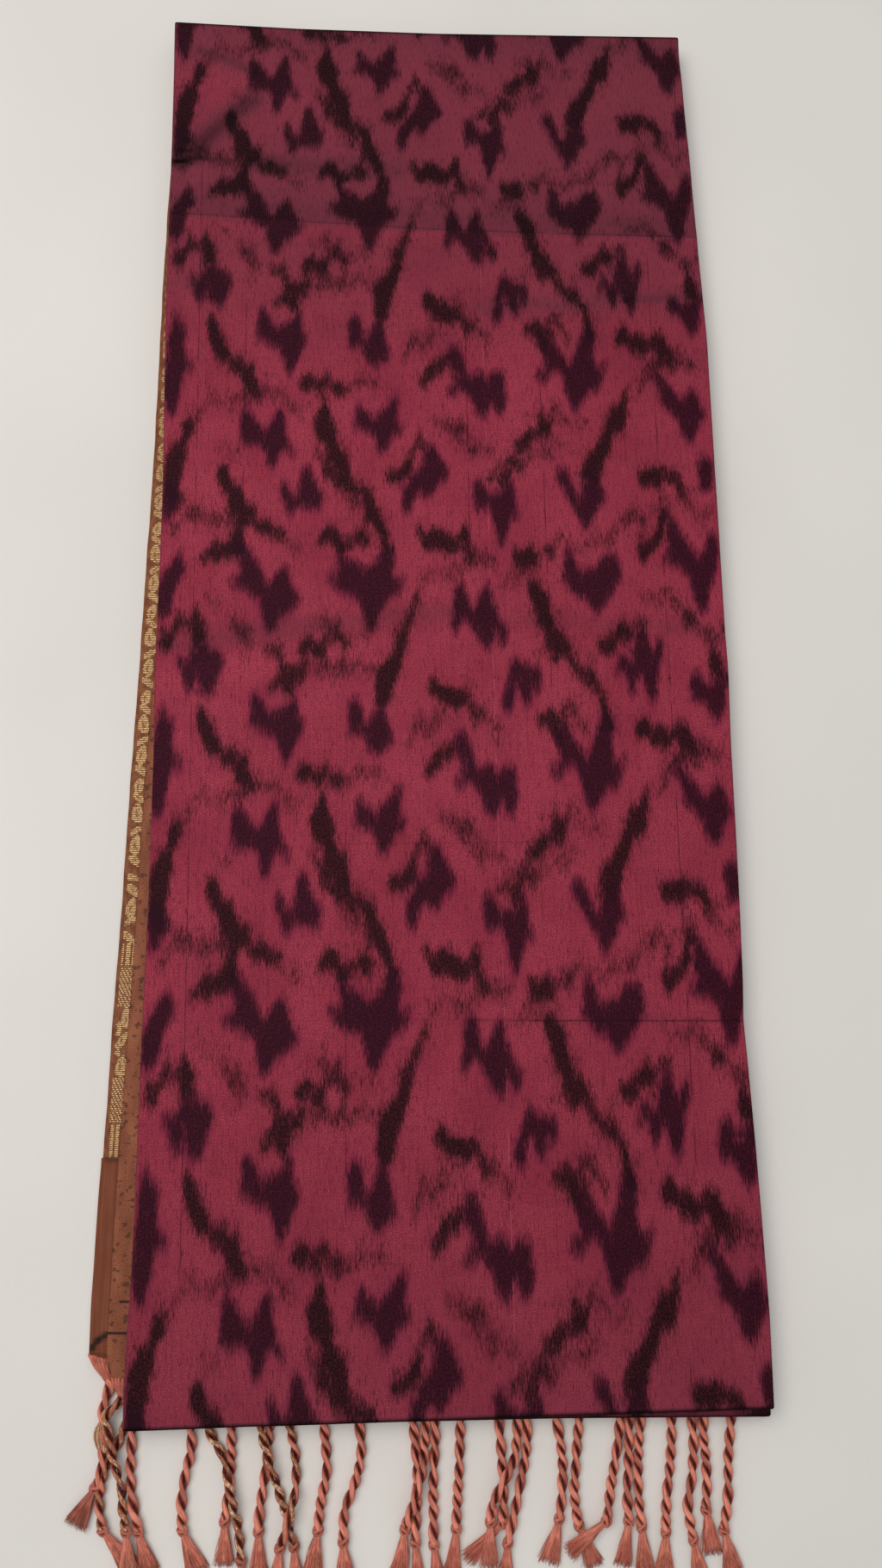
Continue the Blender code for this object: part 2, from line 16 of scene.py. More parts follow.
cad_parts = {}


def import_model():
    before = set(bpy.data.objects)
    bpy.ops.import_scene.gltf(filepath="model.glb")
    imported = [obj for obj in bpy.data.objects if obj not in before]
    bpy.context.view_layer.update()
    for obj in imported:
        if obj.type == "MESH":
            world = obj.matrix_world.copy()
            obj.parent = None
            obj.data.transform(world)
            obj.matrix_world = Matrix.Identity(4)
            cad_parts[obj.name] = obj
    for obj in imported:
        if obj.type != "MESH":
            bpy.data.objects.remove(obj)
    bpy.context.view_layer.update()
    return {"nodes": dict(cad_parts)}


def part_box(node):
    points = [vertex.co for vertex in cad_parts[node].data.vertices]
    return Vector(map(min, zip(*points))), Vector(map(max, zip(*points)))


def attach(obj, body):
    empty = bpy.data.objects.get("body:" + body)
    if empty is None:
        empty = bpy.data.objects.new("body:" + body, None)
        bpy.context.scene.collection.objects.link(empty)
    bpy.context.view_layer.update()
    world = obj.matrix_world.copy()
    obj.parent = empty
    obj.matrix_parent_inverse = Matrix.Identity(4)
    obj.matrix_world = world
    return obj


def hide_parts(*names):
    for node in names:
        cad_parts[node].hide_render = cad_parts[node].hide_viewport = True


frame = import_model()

bl_info = {
    "name": "Folded ikat saree",
    "version": (1, 0, 0),
    "blender": (4, 5, 0),
    "location": "3D View > Sidebar > Saree",
    "description": "Builds the folds, brocade, tassels and stage of a folded silk saree",
    "category": "Add Mesh",
}

MM = 0.001

# Two known places in the cloth's frame, which give where that frame lies in the model
TOP_FOLD_LEFT = -145.4
PALLU_FAR = 728.0
SHIFT = np.array((
    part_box("body_top_leaf")[0].x / MM - TOP_FOLD_LEFT,
    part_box("pallu_border_leaf")[1].y / MM - PALLU_FAR,
    0.0,
))

# The ikat's chart: one repeat of the woven design, from CHART_START along the cloth
REPEAT = 220.0
CHART_START = 120.0
CHART_HALF_WIDTH = 154.0
CHART_STEP = 1.0
CHART_BLUR_ALONG = 3.1
CHART_BLUR_ACROSS = 1.0
CHART_LUMPS = 1.3
CHART_SLIP = 1.5
CHART_SEED = 7
GROUP_SLIP = 2.1
GROUP_COLUMNS = 5
STROKE_STRETCH = 0.92
STROKE_FADE = 2.4
STROKE_REACH = 20.0
PETAL_THINNEST = 2.2
PETAL_GROWTH = 1.02
SPRAY_GROWTH = 0.88
# The leaflets that stand off a spray: how far apart, how long, how much fainter, and their turn
LEAFLET_GAP = 4.8
LEAFLET_LENGTH = 8.6
LEAFLET_SHARE = 0.86
LEAFLET_TURN = 0.75
LEAFLET_ROOT = 1.3
LEAFLET_TIP = 0.5

# Violet blossoms, petal by petal: each petal is a stroke of (x, y, radius) points
BLOSSOMS = (
    (((-139, 334, 2), (-138, 320, 4.5), (-138, 305, 5.5), (-140, 290, 4), (-141, 277, 1.5)),
     ((-136, 304, 3.5), (-131, 303, 3))),
    (((-94, 333, 1.5), (-91, 325, 3.5), (-88, 318, 4), (-80, 315, 5)),
     ((-95, 320, 2), (-88, 318, 3)),
     ((-74, 334, 2.3), (-76, 326, 4.2), (-77, 317, 5.5), (-79, 308, 3.8), (-80, 302, 1.6)),
     ((-75, 318, 4), (-69, 320, 2.5))),
    (((-46, 332, 1.5), (-43, 324, 3.2), (-42, 318, 3.6), (-34, 315, 4.5)),
     ((-47, 318, 2), (-41, 317, 3)),
     ((-30, 331, 1.8), (-31, 324, 3.8), (-32, 316, 5), (-34, 308, 3.2), (-35, 304, 1.5)),
     ((-31, 315, 3.5), (-26, 314, 2.5))),
    (((-103, 278, 1.5), (-99, 268, 3.4), (-95, 261, 4.4), (-87, 256, 5)),
     ((-103, 261, 2), (-97, 260, 3)),
     ((-84, 275, 2), (-84, 266, 4.4), (-86, 256, 5.4), (-87, 248, 3.8), (-88, 243, 2)),
     ((-81, 258, 4), (-76, 257, 2.5))),
    (((-42, 280, 1.8), (-39, 272, 4), (-34, 268, 4)),
     ((-44, 269, 2), (-39, 268, 3)),
     ((-22, 286, 2), (-26, 277, 4.4), (-28, 268, 5.4), (-30, 260, 3.4), (-31, 254, 1.5)),
     ((-23, 269, 3.5), (-19, 267, 2))),
    (((-71, 244, 2.2), (-70, 235, 4.4), (-68, 227, 5.4), (-67, 220, 3)),
     ((-82, 232, 1.6), (-79, 225, 4), (-78, 219, 2.6)),
     ((-78, 225, 3), (-70, 226, 4)),
     ((-65, 227, 4), (-61, 230, 2.3))),
    (((-5, 257, 2.8), (-4, 248, 5.4), (-4, 240, 5.8), (-6, 232, 3.6)),
     ((-7, 238, 4), (-15, 231, 3.4), (-18, 224, 2.8), (-18, 216, 1.5)),
     ((0, 247, 2.5), (2, 239, 2))),
    (((18, 236, 1.6), (20, 229, 3.4), (22, 222, 3.6), (30, 218, 5)),
     ((36, 233, 2.4), (35, 225, 5), (33, 216, 6.2), (32, 207, 3.8), (31, 200, 1.6)),
     ((36, 216, 4), (41, 213, 2))),
    (((63, 239, 1.5), (66, 230, 3.4), (70, 223, 4.2), (77, 220, 5)),
     ((81, 234, 3.6), (80, 226, 5.4), (78, 217, 4.8), (77, 209, 2.8), (77, 204, 1.4)),
     ((82, 224, 4), (87, 226, 2.2))),
    (((118, 297, 2), (122, 290, 3), (126, 282, 4), (131, 276, 4.6)),
     ((120, 279, 2.3), (126, 278, 3)),
     ((139, 292, 2), (138, 284, 4), (137, 276, 5.4), (134, 267, 4.2), (135, 259, 1.8)),
     ((140, 274, 3.5), (144, 272, 2.5))),
    (((8, 317, 2.2), (10, 310, 3), (13, 303, 3.4), (17, 296, 4), (24, 290, 4.6)),
     ((8, 292, 2.3), (15, 293, 3.5)),
     ((24, 296, 2), (24, 288, 4.8), (24, 280, 3.8), (25, 271, 1.6)),
     ((33, 300, 2.3), (32, 292, 4), (28, 288, 4)),
     ((28, 285, 4), (34, 283, 3.8), (37, 280, 2))),
    (((59, 318, 2.2), (62, 310, 3.4), (65, 302, 4.4), (74, 296, 5.4)),
     ((55, 296, 2.2), (62, 299, 4.2), (70, 298, 4.4)),
     ((84, 323, 2.6), (82, 312, 4.4), (79, 302, 5.8), (76, 292, 5.6), (75, 284, 4.2), (76, 276, 1.8)),
     ((80, 297, 4.8), (87, 298, 4), (92, 301, 1.6)),
     ((80, 292, 4), (87, 289, 2.3))),
    (((-53, 197, 2.2), (-49, 188, 4), (-45, 181, 5.4), (-37, 174, 6)),
     ((-56, 179, 2.6), (-49, 178, 4.4), (-42, 176, 5.4)),
     ((-26, 198, 2.2), (-27, 189, 4.8), (-31, 181, 6.4), (-34, 172, 6.8), (-35, 163, 5.4),
         (-34, 152, 2.4)),
     ((-27, 176, 5), (-22, 174, 4), (-19, 178, 2.3))),
    (((-103, 196, 1.8), (-99, 187, 3.4), (-96, 178, 5), (-91, 170, 5)),
     ((-106, 176, 1.8), (-99, 174, 3.5)),
     ((-78, 184, 2), (-79, 176, 5), (-82, 168, 6.6), (-85, 160, 6), (-85, 150, 3)),
     ((-76, 169, 4), (-71, 168, 2))),
    (((66, 190, 1.8), (69, 182, 4), (74, 175, 5)),
     ((64, 173, 1.8), (70, 173, 4)),
     ((89, 191, 2.3), (88, 183, 5), (82, 175, 6), (81, 166, 5.4), (81, 157, 2.3)),
     ((88, 175, 5), (94, 177, 2.8))),
    (((120, 212, 2.3), (122, 203, 3.4), (126, 195, 4.4), (131, 186, 5.4)),
     ((117, 187, 1.5), (124, 187, 3.5)),
     ((143, 202, 2.8), (142, 193, 5), (139, 184, 6.4), (136, 174, 4.8), (136, 163, 1.8))),
    (((9, 177, 1.8), (11, 168, 3.4), (13, 160, 4.4), (21, 156, 4.6)),
     ((7, 156, 2.3), (13, 158, 3.4)),
     ((25, 171, 2), (23, 162, 4.4), (23, 152, 4.4), (24, 145, 3.2), (25, 138, 1.5)),
     ((26, 158, 3.4), (31, 153, 4), (33, 148, 3))),
    (((90, 128, 2.4), (96, 131, 4.2), (103, 132, 5)),
     ((105, 152, 2.4), (105, 143, 4.4), (106, 133, 6), (107, 125, 4), (107, 120, 2)),
     ((114, 146, 2), (112, 137, 3.4), (108, 134, 4)),
     ((97, 128, 3), (97, 121, 2))),
    (((-131, 132, 2.8), (-125, 132, 4.8), (-119, 133, 5.4)),
     ((-120, 138, 3.6), (-116, 130, 6), (-117, 121, 4.4), (-116, 115, 2.2)),
     ((-114, 133, 4), (-109, 132, 2.4)),
     ((-126, 128, 3.4), (-126, 120, 1.8))),
    (((36, 128, 2.5), (41, 128, 4.8), (46, 126, 4.2)),
     ((36, 124, 3), (34, 117, 3.6), (34, 112, 1.8)),
     ((43, 122, 4), (43, 113, 2.6)),
     ((50, 129, 2.4), (48, 122, 3.2))),
    (((131, 125, 2.6), (131, 117, 4), (138, 117, 5.4), (141, 110, 3.8), (142, 104, 1.8)),
     ((146, 121, 3), (140, 117, 5))),
    (((-134, 192, 1.8), (-134, 184, 4), (-138, 176, 5), (-140, 166, 4.4), (-141, 157, 2)),
     ((-134, 183, 3.5), (-131, 183, 2.5))),
    (((139, 249, 1.8), (142, 242, 4), (142, 236, 4), (143, 229, 2)),),
    (((-140, 233, 3.6), (-140, 224, 4.2), (-141, 213, 2)),),
)

# Sprays of leaves and stems: how densely each is dyed, then its points
SPRAYS = (
    (1, (-121, 328, 1.3), (-118, 317, 3), (-113, 309, 4.8), (-108, 305, 2.4)),
    (1, (-106, 303, 2.5), (-101, 299, 4.2), (-97, 292, 3), (-93, 286, 1.8)),
    (0.62, (-108, 286, 2), (-98, 284, 3.5), (-88, 288, 2.6), (-82, 284, 2.6), (-70, 281, 1.6)),
    (0.52, (-110, 280, 2), (-118, 283, 2.4), (-124, 279, 3), (-130, 271, 3)),
    (1, (-130, 270, 2.2), (-134, 260, 2.8), (-138, 250, 4.2), (-140, 238, 4.8), (-140, 228, 4)),
    (0.95, (-71, 298, 2.4), (-67, 295, 4.4), (-61, 293, 2.4)),
    (0.92, (-58, 294, 2.6), (-52, 291, 4)),
    (0.54, (-48, 292, 2.6), (-40, 294, 3), (-33, 296, 2.4)),
    (1, (-60, 281, 2.2), (-61, 272, 4.3), (-58, 262, 3.8), (-54, 252, 3), (-50, 242, 2.3),
     (-47, 233, 2)),
    (0.6, (-66, 254, 1.6), (-60, 248, 2.6), (-53, 242, 3.2)),
    (0.8, (-60, 241, 2.5), (-54, 236, 3.5), (-46, 232, 3.2)),
    (0.95, (-46, 232, 2.4), (-40, 228, 3), (-36, 221, 3.4), (-32, 213, 2.8), (-29, 204, 2.2),
     (-27, 195, 2)),
    (0.5, (-50, 226, 2.4), (-42, 218, 2.8), (-35, 215, 2)),
    (0.9, (-28, 240, 3), (-22, 240, 4), (-17, 243, 2.6)),
    (0.78, (-16, 247, 1.8), (-13, 254, 2.6), (-8, 257, 3.2)),
    (0.56, (-18, 310, 1.6), (-12, 314, 3), (-6, 318, 2.4), (2, 325, 2)),
    (0.95, (-8, 297, 2), (-4, 300, 4), (1, 305, 3), (6, 311, 2.6)),
    (0.95, (50, 325, 3), (56, 324, 3.6), (59, 317, 3)),
    (0.76, (60, 326, 2), (66, 325, 2.6), (71, 320, 2.4)),
    (0.9, (80, 337, 2), (83, 328, 2.2), (84, 319, 2.4)),
    (1, (101, 321, 4.4), (107, 319, 5), (112, 316, 3.4)),
    (1, (114, 314, 3.4), (120, 315, 4.8), (126, 310, 3.8)),
    (0.64, (116, 303, 3), (125, 302, 3.6), (133, 305, 3.2), (141, 304, 2)),
    (0.52, (121, 300, 3), (113, 298, 2.4), (109, 290, 3)),
    (0.95, (101, 285, 1.4), (98, 277, 2.2), (95, 270, 2.6), (90, 261, 3.8), (86, 253, 3.4),
     (82, 243, 5), (79, 235, 4.4)),
    (0.92, (41, 257, 2.6), (45, 258, 3.6), (49, 262, 2.4)),
    (0.92, (52, 263, 2.6), (57, 267, 4.4), (61, 271, 3)),
    (0.46, (48, 275, 2), (62, 274, 2.4), (70, 268, 3), (78, 266, 2)),
    (0.6, (-3, 272, 2), (6, 271, 2.8), (12, 265, 3.6), (16, 260, 2.2)),
    (0.5, (13, 252, 2.2), (24, 253, 2.8), (34, 247, 3.2)),
    (0.84, (27, 235, 3.2), (33, 237, 3.4), (38, 242, 4), (43, 246, 2.8)),
    (0.5, (46, 247, 2.6), (55, 251, 3), (64, 254, 2.2)),
    (1, (106, 242, 3), (110, 239, 5), (115, 237, 3.6)),
    (0.95, (117, 238, 3), (122, 235, 4), (128, 229, 2.4)),
    (1, (-113, 240, 3), (-112, 233, 4.8), (-108, 226, 4.4), (-103, 218, 4.2), (-99, 211, 2.8)),
    (0.95, (-97, 209, 2.4), (-92, 205, 2.8), (-87, 204, 3.6), (-82, 199, 2.2)),
    (0.5, (-82, 198, 2), (-76, 199, 2.4), (-70, 195, 2.4)),
    (0.6, (-138, 205, 1.6), (-133, 212, 2.2), (-126, 217, 3.2), (-123, 212, 3)),
    (0.58, (-119, 208, 2.6), (-112, 209, 2.8), (-105, 211, 2.2)),
    (0.96, (-120, 188, 2.4), (-116, 190, 4.2), (-110, 194, 3.4)),
    (0.92, (-108, 198, 2.6), (-104, 200, 3.6), (-101, 195, 3)),
    (1, (-60, 203, 3), (-55, 203, 4.2), (-51, 197, 3.4)),
    (0.96, (-48, 201, 2.8), (-42, 202, 3.6), (-36, 199, 2.4)),
    (1, (-9, 203, 3.4), (-3, 202, 5.6), (4, 201, 4.6), (10, 200, 3.2)),
    (0.92, (8, 200, 3), (13, 198, 4), (17, 192, 2.8)),
    (0.58, (18, 192, 2.4), (23, 187, 3.2), (29, 184, 2.2)),
    (0.5, (-10, 180, 2), (3, 184, 3.2), (12, 183, 3)),
    (0.42, (28, 181, 2), (36, 178, 2.6), (46, 179, 2)),
    (0.95, (40, 189, 3), (45, 190, 4), (49, 189, 2.6)),
    (0.74, (53, 192, 2.6), (58, 194, 3.6), (62, 196, 2.2)),
    (0.54, (65, 194, 2.2), (76, 195, 2.8), (86, 199, 2.8), (93, 205, 2.4)),
    (0.62, (96, 211, 2.6), (101, 215, 4), (107, 215, 3)),
    (0.48, (111, 219, 2.4), (119, 222, 2.6)),
    (0.5, (126, 224, 2.4), (132, 219, 3.2), (138, 214, 2.6), (145, 216, 2.4)),
    (0.96, (105, 194, 3), (108, 198, 4.6), (113, 200, 3.6), (116, 205, 2.2)),
    (0.96, (116, 211, 2.2), (119, 212, 3.2)),
    (0.82, (-139, 143, 3), (-135, 150, 3), (-129, 155, 3.2), (-124, 157, 2.6)),
    (0.9, (-124, 157, 2.6), (-122, 150, 3.2), (-121, 143, 3.6)),
    (0.42, (-119, 166, 1.8), (-108, 158, 2.6), (-102, 151, 2.4)),
    (0.72, (-104, 153, 1.6), (-100, 147, 2.6), (-96, 140, 2.6)),
    (0.84, (-89, 140, 2), (-84, 136, 3), (-78, 132, 4.4), (-70, 130, 4.4)),
    (0.6, (-66, 131, 3), (-56, 130, 3.2), (-47, 131, 2.8), (-38, 131, 2.2)),
    (1, (-69, 142, 3.6), (-63, 142, 4.4), (-59, 140, 2.4)),
    (0.86, (-56, 146, 2.8), (-52, 148, 3.8), (-48, 145, 2.4)),
    (0.42, (-46, 146, 2.8), (-36, 146, 2.6)),
    (0.48, (-66, 155, 1.8), (-60, 156, 2.6), (-55, 152, 2.2)),
    (0.8, (-10, 169, 1.6), (-14, 160, 2.2), (-17, 152, 2.8), (-20, 144, 2.6)),
    (1, (-20, 140, 2.8), (-25, 132, 4.4), (-29, 124, 5.2), (-30, 114, 3.4)),
    (1, (-4, 123, 3), (0, 118, 4.6), (8, 116, 4.4)),
    (0.8, (9, 115, 3.6), (15, 110, 4), (20, 105, 2.8)),
    (0.52, (23, 102, 2.4), (29, 95, 2.4)),
    (1, (49, 176, 2.8), (51, 170, 4.6), (53, 162, 3.6), (56, 153, 3.2), (59, 147, 2.6), (63, 141, 2.2)),
    (0.6, (48, 138, 2), (56, 138, 3.2)),
    (0.88, (58, 138, 2.8), (63, 134, 3.6), (70, 130, 3.2), (75, 124, 3.2), (80, 117, 2.4)),
    (0.96, (83, 139, 2.8), (87, 141, 3.8), (91, 144, 2.6)),
    (0.88, (93, 147, 2.6), (99, 152, 3.4), (105, 153, 2.6)),
    (0.92, (141, 138, 2.2), (142, 132, 4.2), (143, 126, 2.2)),
    (0.5, (103, 172, 1.8), (112, 170, 2.8), (119, 167, 2.4)),
    (0.76, (121, 164, 2.2), (126, 160, 3.2), (131, 154, 3)),
    (0.62, (134, 151, 2.2), (140, 147, 3.4), (144, 144, 2.6)),
    (0.95, (-85, 117, 3), (-80, 119, 4), (-76, 123, 2.6)),
    (0.5, (-112, 256, 1.6), (-106, 250, 2)),
)

# Creases of the top fold: a ridge or trough from one point to another, and the light or shade painted along
# it: a tone below 0 is painted shade, above 0 painted light
CREASES = (
    # x_from, y_from, x_to, y_to, height, half_width, tone: the painted light or shade
    (-150, 610.5, 5, 602.5, 0.4, 5, 0),
    (5, 602.5, 150, 601, 0.4, 5, 0),
    (-150, 619, 5, 611, -0.45, 7, -0.05),
    (5, 611, 150, 610, -0.45, 7, -0.04),
    (22, 555, 150, 566, -0.5, 9, -0.17),
    (60, 543, 150, 545, 0.2, 6, 0.04),
    (96, 561, 150, 563, -0.3, 3, -0.16),
    (-150, 568, -122, 566, -0.45, 6, -0.1),
    (-144, 640.5, -97, 688, -0.55, 11, -0.42),
    (-153, 642.7, -120, 646.5, -0.35, 2.8, -0.28),
    (-153, 651.9, -133, 652, -0.35, 2, -0.3),
    (-102, 645, -14, 641, -0.1, 11, -0.15),
    (-140, 645, -60, 640, -0.2, 10, -0.06),
    (-133, 718, -95, 701, -0.2, 6.5, -0.27),
    (-10, 175.4, 150, 172.8, -0.4, 2.2, -0.1),
    (60, 727, 150, 724, -0.35, 4, -0.06),
    (-60, 541, 40, 536, -0.15, 7, -0.03),
    (-150, 362, 6, 381, -0.35, 12, -0.25),
    (-150, 346, 2, 362, 0.15, 9, 0.08),
    (4, 381, 150, 368, -0.3, 9, -0.16),
    (70, 470, 150, 461, -0.22, 6, -0.08),
    (-150, 474, -60, 468, -0.18, 7, -0.06),
)
CREASE_FADE = 8.0
# How far the top fold's near left corner is drawn out, and over what lengths along each edge
CORNER_PULL = (1.7, 0.9)
CORNER_PULL_REACH = (70.0, 60.0)
MAIN_CREASE = ((-150, 5, 34, 150), (609.5, 602, 600.6, 601))
FAR_FALL = 0.3
FAR_FALL_LENGTH = 30.0
FAR_ROLL = 0.6
FAR_ROLL_LENGTH = 5.0
RIPPLE = 0.13

# The painted light and shade of the ground along the cloth, below and above the main crease
PAINTED_GROUND_SHADE = (
    (0, 60, 160, 300, 420, 500, 560, 590, 603),
    (0.78, 0.85, 0.94, 1.0, 1.0, 0.97, 0.80, 0.74, 0.80),
)
PAINTED_GROUND_SHADE_ABOVE = ((0, 5, 30, 80, 110, 133), (0.50, 0.55, 0.66, 0.70, 0.66, 0.54))

# The pallu's brocade, along the border and from its edge: ladders are columns of dashes
LADDERS = (
    # from, to, then (middle, half width) of each column
    (113.6, 129.6, (3.5, 0.8), (6.2, 1)),
    (203.6, 214.2, (2, 0.9), (4.9, 0.9), (7.4, 0.6)),
)
HATCHES = ((130.2, 150.6), (184, 203))
LEAVES = (
    # along, from the edge, half length, half width, turn in degrees
    (156, 5.4, 5, 2.6, 86),
    (163.5, 2.7, 3.4, 1.3, 112),
    (168.3, 5.4, 4.6, 1.7, 62),
    (173.5, 2.9, 3.6, 1.9, 78),
    (178.6, 6.4, 5.4, 2.3, 96),
    (217.4, 4.4, 4.8, 1.9, -36),
    (225.2, 5, 4.6, 1.3, 24),
    (231.6, 4.6, 5, 2.6, 84),
    (240, 5.4, 5.6, 2, -40),
    (246.5, 5, 4.6, 1.5, -14),
)
FIGURES_FROM = 252.0
FIGURE_REPEAT = 46.0
FIGURES = (
    # along within the repeat, from the edge, half length, half width, turn in degrees
    (3, 5.2, 4.6, 1.9, -38),
    (11, 4.6, 5, 2.7, 84),
    (18.6, 5.4, 4.8, 1.5, 30),
    (27, 4.6, 5.4, 2.8, 96),
    (34.6, 5.2, 4.2, 1.6, -34),
    (41.2, 4.6, 4, 2.4, 80),
)
FIELD_FROM = 1.7
FIELD_TO = 8.1

# The folded edges of the hidden folds, lowest first: how far each lies inside the top fold's outline
HIDDEN_FOLDS = (
    # near, far, left, right
    (2.6, 1.2, 1.4, 0.9),
    (0.9, 2.9, 2.4, 2.2),
    (3.4, 1.6, 0.9, 1.3),
    (1.6, 3.6, 1.9, 2.6),
    (2.9, 2.1, 1.2, 1.0),
    (1.2, 1.0, 2.1, 1.8),
)
PLIES_EACH = 2
PLY_STEP = 0.55
PLY_SLIDE = 37.0
PLY_GROOVE = 0.75
PLY_WAVER = 0.35
PLY_PROFILE = ((0.06, 1.0), (0.24, 0.3), (0.5, 0.0), (0.76, 0.3), (0.94, 1.0))
PERIMETER_STEP = 3.5
PERIMETER_CUT = 3
REST_INSET = 4.0
SECOND_FOLD_CELLS = (96, 110)

# The tassels, from the left. Each leaves the pallu at root_x, passes x_1 at LEAVE_Y and x_2, x_3 and
# x_4 a quarter, half and three quarters of the way to its knot, and its skirt ends at the knot plus
# tip_dx and tip_dy, as wide as fan gives.
TASSEL_COLUMNS = ("root_x", "x_1", "x_2", "x_3", "x_4", "knot_x", "knot_y", "tip_dx", "tip_dy", "fan")
TASSELS = (
    (-160.2, -157, -156.6, -156.9, -157.3, -159.4, -26.1, -8.4, -15.3, 4.3),
    (-151.4, -154, -151.9, -148.2, -147.4, -144.9, -43.4, 2, -18.7, 3.6),
    (-143.2, -147.4, -152.2, -156.5, -157.4, -155.6, -43.4, 13, -15.8, 3.6),
    (-139, -143.9, -144.2, -144.1, -142.6, -139.9, -44.4, 4.9, -16.2, 3.6),
    (-118.1, -118.1, -117.6, -120.2, -121.3, -120.7, -44.4, 7.3, -17, 4),
    (-111.6, -111.1, -103.2, -99.2, -96.4, -94.6, -57.4, 0.7, -17.5, 3.8),
    (-99.9, -99.9, -99.7, -99.9, -100.9, -102.1, -41.4, 0.3, -17.8, 3.3),
    (-82.6, -82.8, -83.4, -84.6, -86.4, -87.1, -45.8, 0, -17.8, 3.4),
    (-88.4, -87, -83.1, -79.4, -75.2, -71.4, -52.4, 1.3, -18, 3.2),
    (-74.2, -73.9, -71.3, -70.8, -73.4, -77.6, -53, -2, -17, 3.4),
    (-59.2, -58.7, -57.4, -57.2, -59.6, -60.8, -46.3, -2.6, -17.6, 3.2),
    (-43.4, -42.7, -41.5, -43.9, -48.9, -49.7, -51.2, 0.8, -17.9, 4),
    (-19, -18.4, -17, -16.5, -16.9, -17.8, -52.6, 1.6, -18, 2.8),
    (-12.6, -12.4, -13, -14.7, -18.4, -22.2, -47.3, -2.9, -17.8, 3.2),
    (-7.8, -8, -8.4, -9.3, -9.4, -9.5, -53.9, 2, -17.9, 2.8),
    (3.6, 3.4, 3, 2.4, 1.4, 0.7, -47.7, -2, -17.9, 3.1),
    (20.6, 21, 21.5, 22, 22.1, 21.7, -46, -16.2, -14.4, 2.8),
    (28.8, 29.3, 29, 25.4, 18.7, 15.8, -44.4, -0.7, -18.4, 3.3),
    (34.4, 33.7, 33.4, 30.6, 27.3, 23.6, -54.3, -1.6, -17.9, 3.2),
    (46.4, 46.7, 48.7, 49.4, 48.8, 47.1, -45.2, -4.9, -17.8, 3.8),
    (58.4, 58, 56.6, 55.3, 54.3, 55.7, -48.1, 6.7, -16.9, 3.2),
    (76.6, 76.6, 75.6, 73, 70.6, 68.4, -46.4, -17.6, -12, 3),
    (81, 81, 80.2, 79.5, 78.4, 78.5, -47.1, -3.4, -18, 3.2),
    (86.4, 86.3, 84.9, 83.8, 83.5, 84.1, -49.6, 1.2, -17.9, 3.4),
    (100.8, 100.5, 99.8, 98.2, 96.1, 95, -52.1, -1.5, -17.8, 3.6),
    (109.2, 109.4, 109.9, 108.6, 105.8, 107.3, -55.8, 3.3, -17.8, 3.6),
    (115.2, 115.2, 114.6, 115.2, 115, 113.8, -43.7, 2.2, -18, 3.6),
    (122.6, 128.1, 126.7, 125.2, 124.3, 121.4, -52.4, 3.8, -17.9, 3.6),
)
# The tassels that cross a neighbour, counted from 0: within over_half of over_y such a one is lifted
# by over_z, its knot lies knot_up higher, and its skirt ends at tip_z. The others lie flat.
LIFT_COLUMNS = ("over_y", "over_half", "over_z", "knot_up", "tip_z")
FLAT = (0, 0, 0, 0, 2.2)
LIFTS = {
    1: (-8, 14, 4.2, 2.4, 6.1),
    5: (-28, 7, 4.2, 0, 2.2),
    8: (-14, 7, 4.2, 0, 2.2),
    9: (-40, 7, 4.2, 0, 2.2),
    13: (-30, 9, 4.4, 0, 2.2),
    17: (-28, 7, 4.4, 2.6, 5.6),
    21: (0, 0, 0, 1.6, 4.8),
}
# Points that a tassel passes between its root and LEAVE_Y
TASSEL_BENDS = {
    0: ((-155.2, 16.2), (-156.6, 9.0), (-157.5, 4.0)),
    1: ((-149.2, 10.6), (-150.8, 7.9), (-153.9, 5.6), (-155.4, 2.8)),
}
# Corner tassels gather their warp ends in a flat bundle between two sides, each through three points
GATHERS = {
    0: (((-164.8, 28.9), (-161.3, 23.3), (-157.0, 17.4)), ((-156.6, 26.4), (-154.6, 21.6), (-153.7, 17.2))),
    1: (((-154.4, 20.6), (-152.6, 15.6), (-150.6, 11.4)), ((-146.6, 20.6), (-146.6, 15.0), (-148.0, 10.4))),
}
GATHER_LIFT = 4.4
GATHER_THREADS = 84
GATHER_POINTS = 9
GATHER_SIDE = (0.9, 0.42, 0.0)
# Loosened stretches of a cord: from y, to y, belly
LOOSENED = {0: (1.6, -12.6, 3.5)}
LOOSE_STRANDS = 64
LOOSE_POINTS = 14
THREAD_SIDES = 4
# How much gold thread a tassel holds, counted from 0: in its second ply, then in its skirt
GOLD_IN_TASSELS = {
    1: (0.9, 0.35),
    2: (0.6, 0.25),
    5: (1.0, 0.30),
    8: (1.0, 0.30),
    9: (0.7, 0.22),
}
FIRST_PLY_GOLD = 0.62
GOLD_THINNER = 0.16
# Skirts whose silk is darker than the others'
DARK_SKIRTS = {0: 0.38}
LEAVE_Y = -2.0
ROOT_GAP = 0.5
CORD_LIFT = 2.05
LIFT_RAMP = 7.0
KNOT_LIFT = 2.55
KNOT_RISE_LENGTH = 12.0
CORD_STEP = 0.7
CURVE_STEPS = 24
PLY_SIDES = 10
KNOT_RING = (1.5, 1.75, 0.35)
KNOT_POINTS = 20
KNOT_TUBE = 1.05
KNOT_SIDES = 8
OVER_TURN = 1.25
OVER_POINTS = 14
STRAND_POINTS = 8
STRAND_SIDES = 3
STRAY_EVERY = 24
SKIRT_LOCKS = 7
SKIRT_START = 1.3
SKIRT_WIDTH = 1.5
